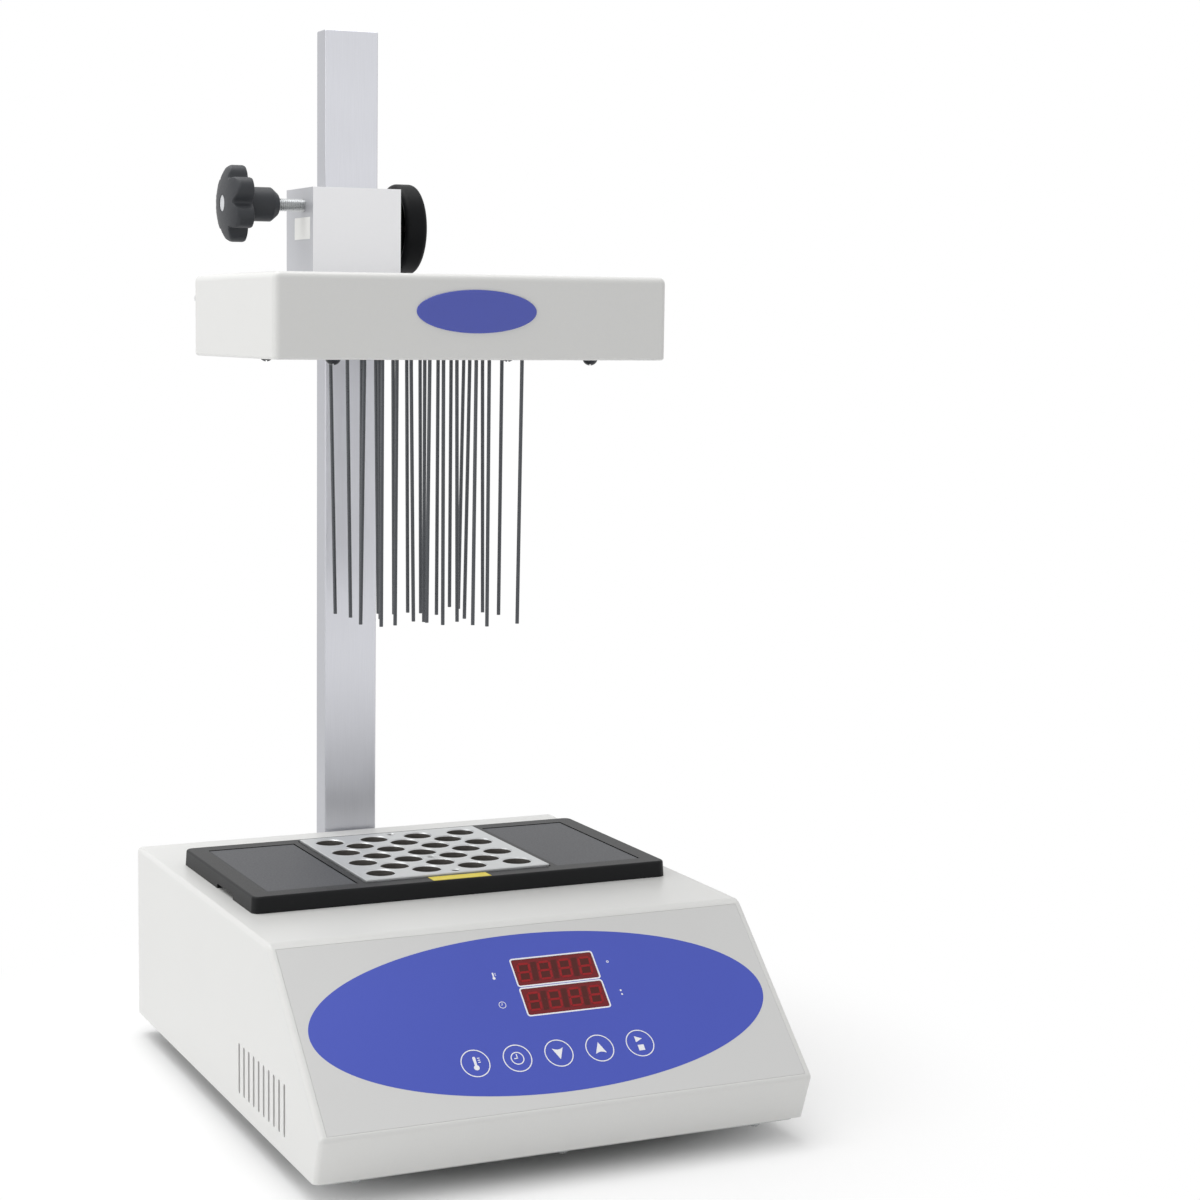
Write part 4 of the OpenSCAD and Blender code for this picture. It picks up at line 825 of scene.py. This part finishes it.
for radius, depth, places in ((well_d / 2, well_depth, wells), (lift_d / 2, lift_depth, lift_places)):
    outline = [
        (0, block_high.z - depth),
        (radius, block_high.z - depth),
        (radius, block_high.z - mouth),
        (radius + mouth + MM, block_high.z + MM),
        (0, block_high.z + MM),
    ]
    for x, y in places:
        bores.append(turned(outline, facing((0, 0, 1), (x, y, 0)) @ Matrix.Rotation(bore_turn, 4, "Z")))
well_block = piece("well_block", without(block, *bores), "heating_block", milled_aluminium, "heating_block")
# Drilled and reamed aluminium with rings 0.2 mm apart, painted darker in the bores as painted shade.
reamed_bore_shade = grained(
    "reamed aluminium, painted bore shade", "#77736f", 0.45, 0.2, 0.008, shade=0.1, stretch=(0.1, 0.1, 1), Metallic=0.7
)
well_block.data.materials.append(reamed_bore_shade)
rim_free = 1.2 * MM  # no bore comes nearer to the block's outer faces than this
# Faces inside the bores take the darker material: painted shade in the recesses.
for face in well_block.data.polygons:
    x, y, z = face.center
    inside = max(abs(x), abs(y - work_y)) < half_block - rim_free
    face.material_index = int(inside and block_low.z + rim_free < z < block_high.z - mouth)

# ---- Rear fittings ----
# The mains inlet, its fuse drawer and the rocker switch snap into the rear panel.

# Nickel plated brass: a warm even shine, with a blanking drag along the blades.
nickel = grained("nickel plated brass", "#cfc9ba", 0.25, 0.4, 0.006, shade=0.05, Metallic=1.0)
paint(black_abs, "power_inlet", "fuse_drawer", "switch_frame")
paint(nickel, "inlet_pins")
rocker_low, rocker_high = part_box("switch_rocker")
rocker_w, rocker_h, face_steps = rocker_high.x - rocker_low.x, 21 * MM, 16
rocker_tilt = math.radians(6)
rocker_x = (rocker_low.x + rocker_high.x) / 2
rocker_axis = Vector((rocker_x, base_high.y - MM, (base_low.z + base_high.z) / 2))
ROCKER = Matrix.Translation(rocker_axis) @ Matrix.Rotation(rocker_tilt, 4, "X")


def rocker_face(t):
    """Distance of the rocker's hollow face from its axis, at a share t of its height."""
    return (2 + 2 * (1 - math.sin(math.pi * t) ** 1.4)) * MM


back_r, rocker_edge = mm(6, 0.5)
outline = arc((0, 0), back_r, 90, 270, 12) + [(rocker_edge, -rocker_h / 2)]
shares = [1 - i / face_steps for i in range(face_steps + 1)]
outline += [(rocker_face(share), rocker_h / 2 * (1 - 2 * share)) for share in shares]
outline.append((rocker_edge, rocker_h / 2))
rocker = drawn(outline, rocker_w, ROCKER @ Matrix.Translation((-rocker_w / 2, 0, 0)) @ ALONG_X)
piece("rocker", soften(rocker, 0.4 * MM, steps=2), "switch_rocker", black_abs, "switch_rocker")
mark_t = 0.05 * MM
line_mark = box((-0.35 * MM, 0, 3.6 * MM), (0.35 * MM, mark_t, 7 * MM))
ring_mark = band(1.3 * MM, 1.9 * MM, mark_t, facing((0, 1, 0), (0, 0, -5.4 * MM)))
marks = [
    put(mark, ROCKER @ Matrix.Translation((0, rocker_face(share) + 0.15 * MM, 0)))
    for mark, share in ((line_mark, 0.25), (ring_mark, 0.757))
]
piece("rocker_marks", joined(*marks), "switch_rocker", white_ink)

# ---- Column ----
# A flat aluminium bar with rounded corners stands on a spacer behind the housing, and a steel
# rack is let into its back. Six screws hold bar and spacer on a plate inside the housing.

# Extruded aluminium, brushed along its length and clear anodised: streaks 0.3 mm apart.
brushed_aluminium = grained(
    "brushed anodised aluminium", "#dadbe1", 0.34, 0.3, 0.006, shade=0.05, stretch=(1, 1, 0.02), Metallic=0.85
)


def solid_of(node):
    """A merged copy of a CAD node's mesh, with its flat faces whole."""
    bm = bmesh.new()
    bm.from_mesh(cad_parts[node].data)
    bmesh.ops.remove_doubles(bm, verts=bm.verts, dist=2e-6)
    bmesh.ops.dissolve_limit(bm, angle_limit=math.radians(0.5), verts=bm.verts, edges=bm.edges)
    return bm


def rounded_copy(name, node, body, material, radius, where=lambda edge: True, steps=3):
    """A piece that takes a CAD node's place, with its corners rounded."""
    return piece(name, soften(solid_of(node), radius, where, steps), body, material, node)


bar_low, bar_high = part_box("column")


def bar_corner(edge):
    """On the outside of the bar, not in its groove."""
    a, b = (v.co for v in edge.verts)
    return all(
        min(abs(p.x - bar_low.x), abs(p.x - bar_high.x)) < face_gap
        or (abs(p.z - bar_high.z) < face_gap and abs(a.z - b.z) < merge_gap and p.y < bar_high.y - face_gap)
        for p in (a, b)
    )


def shade_sides(made, material):
    """Gives a piece's left and right faces a darker material, as painted shade on the sides."""
    made.data.materials.append(material)
    for face in made.data.polygons:
        face.material_index = int(abs(face.normal.x) > 0.7)  # within 45 degrees of X


# The bar's narrow sides are painted darker, as painted shade, with the die's finer, duller lines.
bar_side_shade = grained(
    "anodised aluminium with painted side shade", "#bdbec3", 0.42, 0.2, 0.006, shade=0.04, stretch=(1, 1, 0.02), Metallic=0.85
)
column_bar = rounded_copy("bar", "column", "base", brushed_aluminium, 0.9 * MM, bar_corner)
shade_sides(column_bar, bar_side_shade)
rounded_copy("bar_spacer", "column_spacer", "base", brushed_aluminium, 0.5 * MM, steps=2)

# ---- Collar ----
# Two aluminium blocks clamp round the bar, with a silver lacquer on their broad faces; their narrow left and
# right faces are painted darker, as painted shade.
# Nylon liners run on the bar, and two bronze bushes carry the hand wheel's shaft at the seam.

# Silver lacquer: fine flake in a smooth skin with a faint orange peel.
lacquer = grained("silver lacquered aluminium", "#eeeef0", 0.36, 1.5, 0.008, shade=0.012, Metallic=0.6)
# The collar's left and right faces: a darker aluminium, painted shade, with pits of 0.4 mm.
collar_side_shade = grained("aluminium with painted side shade", "#c3c4c8", 0.5, 0.4, 0.01, shade=0.03, Metallic=0.5)
# Sintered bronze: a fine open grain that holds oil.
bronze = grained("sintered bronze", "#a97f46", 0.4, 0.3, 0.01, shade=0.1, Metallic=1.0)


def collar_half(name, node, out_y, seam_y):
    """A half of the collar, rounded at the corners round its outer faces, away from the seam."""
    low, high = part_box(node)

    def outer_corner(edge):
        """With both ends on a side or on the outer face, and none on the seam."""
        ends = [v.co for v in edge.verts]
        outside = all(min(abs(p.x - low.x), abs(p.x - high.x), abs(p.y - out_y)) < face_gap for p in ends)
        return outside and all(abs(p.y - seam_y) > face_gap for p in ends)

    # The left and right faces take the darker material: painted shade.
    shade_sides(rounded_copy(name, node, "head", lacquer, 0.8 * MM, outer_corner), collar_side_shade)


collar_low, collar_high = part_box("collar_body")
rear_low, rear_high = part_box("collar_cover")
collar_half("collar_front", "collar_body", collar_low.y, collar_high.y)
collar_half("collar_rear", "collar_cover", rear_high.y, rear_low.y)
paint(nylon, "guide_liners")
paint(bronze, "shaft_bushes", "lock_pad")
# Paper label with a gloss film, blank.
blank_label = grained("blank paper label", "#f1f1ee", 0.35, 2, 0.004, shade=0.01)
label = box(
    (collar_low.x - 0.12 * MM, collar_low.y + 4 * MM, collar_high.z - 23.5 * MM),
    (collar_low.x + 0.02 * MM, collar_high.y - 0.6 * MM, collar_high.z - 13.5 * MM),
)
piece("collar_label", label, "head", blank_label)

# ---- Hand wheel ----
# A moulded black wheel on the pinion's steel shaft, with a rounded rim and a hollow outer face.

# Phenolic moulding, satin from the tool: black, with a 1 mm flow grain.
phenolic = grained("phenolic moulding", "#0e0f11", 0.5, 1.0, 0.004, shade=0.12, Specular_IOR_Level=0.12)
paint(plain_steel, "pinion_shaft")
wheel_low, wheel_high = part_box("handwheel")
wheel_r = (wheel_high.z - wheel_low.z) / 2
wheel_mid = (wheel_low + wheel_high) / 2
shaft_r, hub_r, wheel_t, web_set = mm(3, 7.5, 11, 7)
edge_r, rim_t = mm(2.6, 4.2)
hub_x, face_x = wheel_low.x, wheel_high.x
rim_x, web_x = face_x - wheel_t, face_x - wheel_t + web_set
rim_in = wheel_r - rim_t
outline = [(0, face_x - 2 * MM), (shaft_r, face_x - 2 * MM), (shaft_r, hub_x)]
outline += [(hub_r - 0.5 * MM, hub_x), (hub_r, hub_x + 0.5 * MM), (hub_r, web_x), (rim_in, web_x)]
outline += [(rim_in, rim_x + 1.1 * MM), (rim_in + 0.5 * MM, rim_x + 0.6 * MM)]
outline += arc((wheel_r - edge_r, rim_x + edge_r), edge_r, -75, 0, 6)
outline += arc((wheel_r - edge_r, face_x - edge_r), edge_r, 0, 90, 6)
outline += arc((wheel_r - 4.6 * MM, face_x - 1.3 * MM), 1.3 * MM, 90, 170, 4)
outline += [(wheel_r - 6.6 * MM, face_x - 1.9 * MM), (9 * MM, face_x - 1.2 * MM), (0, face_x - 0.8 * MM)]
ALONG_SHAFT = facing((1, 0, 0), (0, wheel_mid.y, wheel_mid.z))
wheel = turned(outline, ALONG_SHAFT, 96)
rib_count, rib_t, rib_sunk = 6, 2.5 * MM, 0.4 * MM
ribs = []
for i in range(rib_count):
    rib = box(
        (hub_r - rib_sunk, -rib_t / 2, rim_x + 1.6 * MM),
        (rim_in + rib_sunk, rib_t / 2, web_x + 0.3 * MM),
    )
    ribs.append(put(rib, ALONG_SHAFT @ Matrix.Rotation(2 * math.pi * i / rib_count, 4, "Z")))
piece("wheel", joined(wheel, *ribs), "handwheel", phenolic, "handwheel")

# ---- Lock screw ----
# A zinc plated M6 screw with a six-lobed knob on its head presses a metal pad on the bar. The
# knob has a domed face with a light cap let into it.

# Glass filled nylon, moulded: charcoal, with a dry 0.6 mm grain.
filled_nylon = grained("glass filled nylon", "#323438", 0.5, 0.6, 0.012, shade=0.1, Specular_IOR_Level=0.35)
# Moulded ABS in light grey, polished.
light_cap = grained("light grey ABS", "#c9cbce", 0.3, 1.0, 0.004, shade=0.03)
paint(light_cap, "knob_cap")
stud_low, stud_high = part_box("lock_stud")
knob_low, knob_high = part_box("lock_knob")
stud_r, thread_pitch, thread_depth = mm(3, 1, 0.54)
stud_mid = (stud_low + stud_high) / 2
ALONG_STUD = facing((1, 0, 0), (0, stud_mid.y, stud_mid.z))
turn_steps = 20
turns = int((stud_high.x - stud_low.x) / thread_pitch) - 1
root_r, crest_r = stud_r - thread_depth, stud_r - 0.04 * MM
tooth = [(root_r, 0), (crest_r, 0.40), (crest_r, 0.55), (root_r, 0.93), (root_r, 1.0)]  # in pitches
thread = bmesh.new()
points = [thread.verts.new((r, 0, h * thread_pitch)) for r, h in tooth]
edges = [thread.edges.new(pair) for pair in zip(points, points[1:])]
bmesh.ops.spin(
    thread,
    geom=points + edges,
    cent=(0, 0, 0),
    axis=(0, 0, 1),
    dvec=(0, 0, thread_pitch / turn_steps),
    angle=2 * math.pi * turns,
    steps=turn_steps * turns,
)
bmesh.ops.remove_doubles(thread, verts=thread.verts, dist=merge_gap)
rims = [edge for edge in thread.edges if len(edge.link_faces) == 1]
bmesh.ops.holes_fill(thread, edges=rims, sides=0)
put(thread, ALONG_STUD @ Matrix.Translation((0, 0, stud_low.x + 0.3 * MM)))
core = rod(root_r - 0.02 * MM, (stud_low.x + 0.1 * MM, *stud_mid.yz), (stud_high.x, *stud_mid.yz))
piece("stud", joined(thread, core), "lock_knob", zinc_plate, "lock_stud")


def lofted(rings):
    """A closed form from rings of as many points each, with a point at either end."""
    bm = bmesh.new()
    loops = [[bm.verts.new(point) for point in ring] for ring in rings]
    for a, b in zip(loops, loops[1:]):
        for i in range(max(len(a), len(b))):
            corners = [a[i % len(a)], a[(i + 1) % len(a)], b[(i + 1) % len(b)], b[i % len(b)]]
            bm.faces.new(list(dict.fromkeys(corners)))
    return bm


knob_r = (knob_high.z - knob_low.z) / 2
lobe_r, knob_steps = 5.6 * MM, 180
lobe_at = knob_r - lobe_r


def lobed(angle):
    """Radius of the knob's outline: six round lobes on a round core."""
    off = (angle + math.pi / 6) % (math.pi / 3) - math.pi / 6
    inner = lobe_at * math.sin(off)
    lobe = lobe_at * math.cos(off) + math.sqrt(max(lobe_r**2 - inner**2, 0)) if abs(inner) < lobe_r else 0
    return max(lobe, lobe_at)


sharp_radii = [lobed(2 * math.pi * i / knob_steps) for i in range(knob_steps)]
reach = 3  # how many steps to either side the valleys between the lobes are smoothed over
outline_radii = [
    sum(sharp_radii[(i + k) % knob_steps] for k in range(-reach, reach + 1)) / (2 * reach + 1)
    for i in range(knob_steps)
]
lobe_t, hub_out, hub_long = mm(11, 7.8, 15.5)


def dome(radius):
    """Height of the knob's outer face behind its foremost point."""
    table = [(0, 0), (0.45, 0.3), (0.75, 1.3), (0.93, 2.8), (1.0, 4.2)]
    share = radius / knob_r
    for (r0, h0), (r1, h1) in zip(table, table[1:]):
        if share <= r1:
            return (h0 + (h1 - h0) * (share - r0) / (r1 - r0)) * MM
    return table[-1][1] * MM


def knob_ring(radii, height):
    """A ring round the knob's axis; the height is a number or a function of the radius."""
    turned_by = [2 * math.pi * i / knob_steps for i in range(knob_steps)]
    return [
        (r * math.cos(a), r * math.sin(a), height(r) if callable(height) else height)
        for r, a in zip(radii, turned_by)
    ]


cap_r, cap_depth = mm(3.8, 1.2)
rings = [[(0, 0, cap_depth)]] + [knob_ring([cap_r] * knob_steps, h) for h in (cap_depth, 0.05 * MM)]
for share in (0.35, 0.5, 0.65, 0.8, 0.9, 0.96):
    rings.append(knob_ring([max(r * share, cap_r + 0.2 * MM) for r in outline_radii], dome))
# The face's edge is rounded over, the lobes' walls run back, and the back steps in to the hub.
rings.append(knob_ring([r - 0.15 * MM for r in outline_radii], lambda r: dome(r) + 0.35 * MM))
rings.append(knob_ring(outline_radii, lambda r: dome(r) + 0.9 * MM))
for inset, ahead_of_back in ((0, 1.2 * MM), (0.35 * MM, 0.35 * MM), (1.2 * MM, 0)):
    rings.append(knob_ring([r - inset for r in outline_radii], lobe_t - ahead_of_back))
hub_line = [(hub_out + 0.9 * MM, 0), (hub_out + 0.25 * MM, 0.3 * MM), (hub_out, MM)]
hub_line += [(hub_out, hub_long - 3.5 * MM), (hub_out - 0.4 * MM, hub_long - 2.9 * MM)]
hub_line += [(hub_out - 2.6 * MM, hub_long - 0.3 * MM), (hub_out - 3.0 * MM, hub_long)]
hub_line += [(stud_r + 0.02 * MM, hub_long), (stud_r + 0.02 * MM, 2 * MM)]
rings += [knob_ring([r] * knob_steps, lobe_t + h) for r, h in hub_line]
rings.append([(0, 0, lobe_t + 2 * MM)])
on_stud = ALONG_STUD @ Matrix.Translation((0, 0, knob_low.x)) @ Matrix.Rotation(math.pi / 2, 4, "Z")
knob = put(lofted(rings), on_stud)
piece("star_knob", knob, "lock_knob", filled_nylon, "lock_knob")

# ---- Needle head ----
# An aluminium arm carries the gas chamber from the collar. A shell pressed from steel sheet,
# powder coated, covers it, and a flat plate closes it below, held by four dark screws.

# Anodised aluminium, satin.
satin_anodised = grained("satin anodised aluminium", "#c9cbce", 0.38, 0.3, 0.006, shade=0.05, Metallic=0.9)
# Black oxide on steel: oily and uneven in a 2 mm mottle.
black_oxide = grained("black oxide steel", "#34363a", 0.35, 2, 0.006, shade=0.15, Metallic=0.7)
paint(satin_anodised, "gas_chamber", "chamber_lid")
paint(powder_coat, "head_bottom")
rounded_copy("arm", "head_arm", "head", satin_anodised, 0.5 * MM, steps=2)
head_low, head_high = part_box("head_cover")
arm_low, arm_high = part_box("head_arm")
shell_t, cover_round, hem_round, way_gap = mm(2.5, 3, 1.2, 0.5)
cover = box(head_low, head_high)
soften(cover, cover_round, lambda e: top_of(e) > head_low.z + face_gap, steps=6)
soften(cover, hem_round, lambda e: top_of(e) < head_low.z + face_gap)
hollow = soften(
    box(
        (head_low.x + shell_t, head_low.y + shell_t, head_low.z - 5 * MM),
        (head_high.x - shell_t, head_high.y - shell_t, head_high.z - shell_t),
    ),
    0.8 * MM,
    steps=2,
)
way_out = box(
    (arm_low.x - way_gap, head_high.y - 2 * shell_t, arm_low.z - way_gap),
    (arm_high.x + way_gap, head_high.y + shell_t, arm_high.z + way_gap),
)
inlet_low, inlet_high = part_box("gas_inlet")
inlet_mid = (inlet_low + inlet_high) / 2
inlet_in = (inlet_mid.x, head_high.y - 2 * shell_t, inlet_mid.z)
inlet_hole = rod(4.1 * MM, inlet_in, (inlet_mid.x, head_high.y + MM, inlet_mid.z))
cover = without(cover, hollow, way_out, inlet_hole)
screw_low, screw_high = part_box("head_screws")
head_d = 6.4 * MM
boss_x = (screw_low.x + head_d / 2, screw_high.x - head_d / 2)
boss_y = (screw_low.y + head_d / 2, screw_high.y - head_d / 2)
boss_places = [(x, y) for x in boss_x for y in boss_y]
bosses = []
for x, y in boss_places:
    boss = rod(4 * MM, (x, y, head_low.z + 2.05 * MM), (x, y, head_high.z - shell_t + 0.5 * MM), 24)
    bosses.append(without(boss, rod(1.55 * MM, (x, y, head_low.z), (x, y, head_low.z + 14 * MM), 20)))
piece("shell", joined(cover, *bosses), "head", powder_coat, "head_cover")
dark_set = pan_screws([(x, y, head_low.z) for x, y in boss_places], 3 * MM, head_d, 2.4 * MM, 10 * MM)
piece("dark_screws", dark_set, "head", black_oxide, "head_screws")
# Domed resin over blue print: a clear gloss.
domed_resin = grained("blue domed resin", "#3949b0", 0.14, 5, 0.002, shade=0.02, Coat_Weight=0.5)
badge_low, badge_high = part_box("badge_plate")
badge_w, badge_h = (badge_high.x - badge_low.x) / 2, (badge_high.z - badge_low.z) / 2
badge_z = (badge_low.z + badge_high.z) / 2
badge_t = badge_high.y - badge_low.y
badge_steps = 96
badge_turn = [2 * math.pi * i / badge_steps for i in range(badge_steps)]
rings = [[(0, 0, 0)]]
for inset, height in ((0, 0), (0, 0.35), (0.15, 0.6), (0.5, 0.78), (1.5, 0.92), (4, 0.98)):
    a, b = badge_w - inset * MM, badge_h - inset * MM
    rings.append([(a * math.cos(t), b * math.sin(t), height * badge_t) for t in badge_turn])
rings.append([(0, 0, badge_t)])
on_front = Matrix.Translation((0, badge_high.y, badge_z)) @ Matrix.Rotation(math.pi / 2, 4, "X")
badge = put(lofted(rings), on_front)
piece("badge", badge, "head", domed_resin, "badge_plate")

# ---- Needles and gas inlet ----
# Twenty-five stainless tubes hang from the seal through the chamber's floor. They were pushed
# in by hand, so their ends don't line up. A chromed barb for the gas hose is at the rear left.

# Stainless steel, drawn: painted dark, as painted shade for the dark reflections along the thin tubes, with
# faint rings 0.3 mm apart.
stainless = grained(
    "drawn stainless steel", "#55575a", 0.3, 0.3, 0.004, shade=0.08, stretch=(0.3, 0.3, 1), Metallic=1.0
)
# Chrome on brass: bright, nearly a mirror.
chrome = grained("chromed brass", "#cfd0d2", 0.08, 3, 0.002, shade=0.03, Metallic=1.0)
# PVC hose, clear with a grey cast.
clear_hose = grained("clear PVC hose", "#dfe3e4", 0.25, 2, 0.004, shade=0.02, Transmission_Weight=0.3)
paint(clear_hose, "inlet_tube")
needle_low, needle_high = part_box("needles")
needle_r, needle_bore, needle_cuts = 0.8 * MM, 0.5 * MM, 6
uneven, lean_spread, lean_most = 4.5, 1.2, 2.6  # millimetres, at a needle's end
top = needle_high.z - 0.2 * MM
random.seed(25)
tubes = []
for x, y in wells:
    low = needle_low.z + random.uniform(0, uneven) * MM
    leans = [random.gauss(0, lean_spread) for _ in "xy"]
    lean = Vector([max(-lean_most, min(lean_most, aside)) * MM for aside in leans] + [0])
    outline = [(needle_bore, low), (needle_r - 0.05 * MM, low), (needle_r, low + 0.05 * MM), (needle_r, top)]
    outline += [(needle_bore, top), (needle_bore, low)]
    tube = turned(outline, Matrix.Translation((x, y, 0)), 20)
    long_edges = [e for e in tube.edges if e.calc_length() > 50 * MM]
    bmesh.ops.subdivide_edges(tube, edges=long_edges, cuts=needle_cuts)
    for vert in tube.verts:
        share = (head_low.z - vert.co.z) / (head_low.z - needle_low.z)
        vert.co += lean * max(share, 0)
    tubes.append(tube)
piece("needle_set", joined(*tubes), "head", stainless, "needles")

barb_r, neck_r, barb_pitch = mm(3.25, 2.65, 4.2)
barb_end = inlet_high.y - head_high.y
outline = [(0, -5.5 * MM), (4 * MM, -5.5 * MM), (4 * MM, 0), (3.6 * MM, 0), (3.6 * MM, 4 * MM)]
outline += [(neck_r, 4.4 * MM), (neck_r, barb_end - 3 * barb_pitch)]
for i in (3, 2, 1):
    start = barb_end - i * barb_pitch
    outline += [(barb_r - 0.1 * MM, start), (barb_r, start + 0.2 * MM), (barb_r, start + 0.6 * MM)]
    outline.append((2.6 * MM, start + 4 * MM))
outline += [(1.9 * MM, barb_end), (1.7 * MM, barb_end), (1.7 * MM, -4 * MM), (0, -4 * MM)]
barb_parts = [turned(outline, steps=36)]
for across, low, high in ((11.5 * MM, 0, 4 * MM), (12 * MM, -5.5 * MM, -2.55 * MM)):
    nut = rod(across / 2, (0, 0, low), (0, 0, high), 6)
    barb_parts.append(
        soften(nut, 0.45 * MM, lambda e: abs(e.verts[0].co.z - e.verts[1].co.z) < merge_gap, steps=2)
    )
inlet = put(joined(*barb_parts), facing((0, 1, 0), (inlet_mid.x, head_high.y, inlet_mid.z)))
piece("hose_barb", inlet, "head", chrome, "gas_inlet")
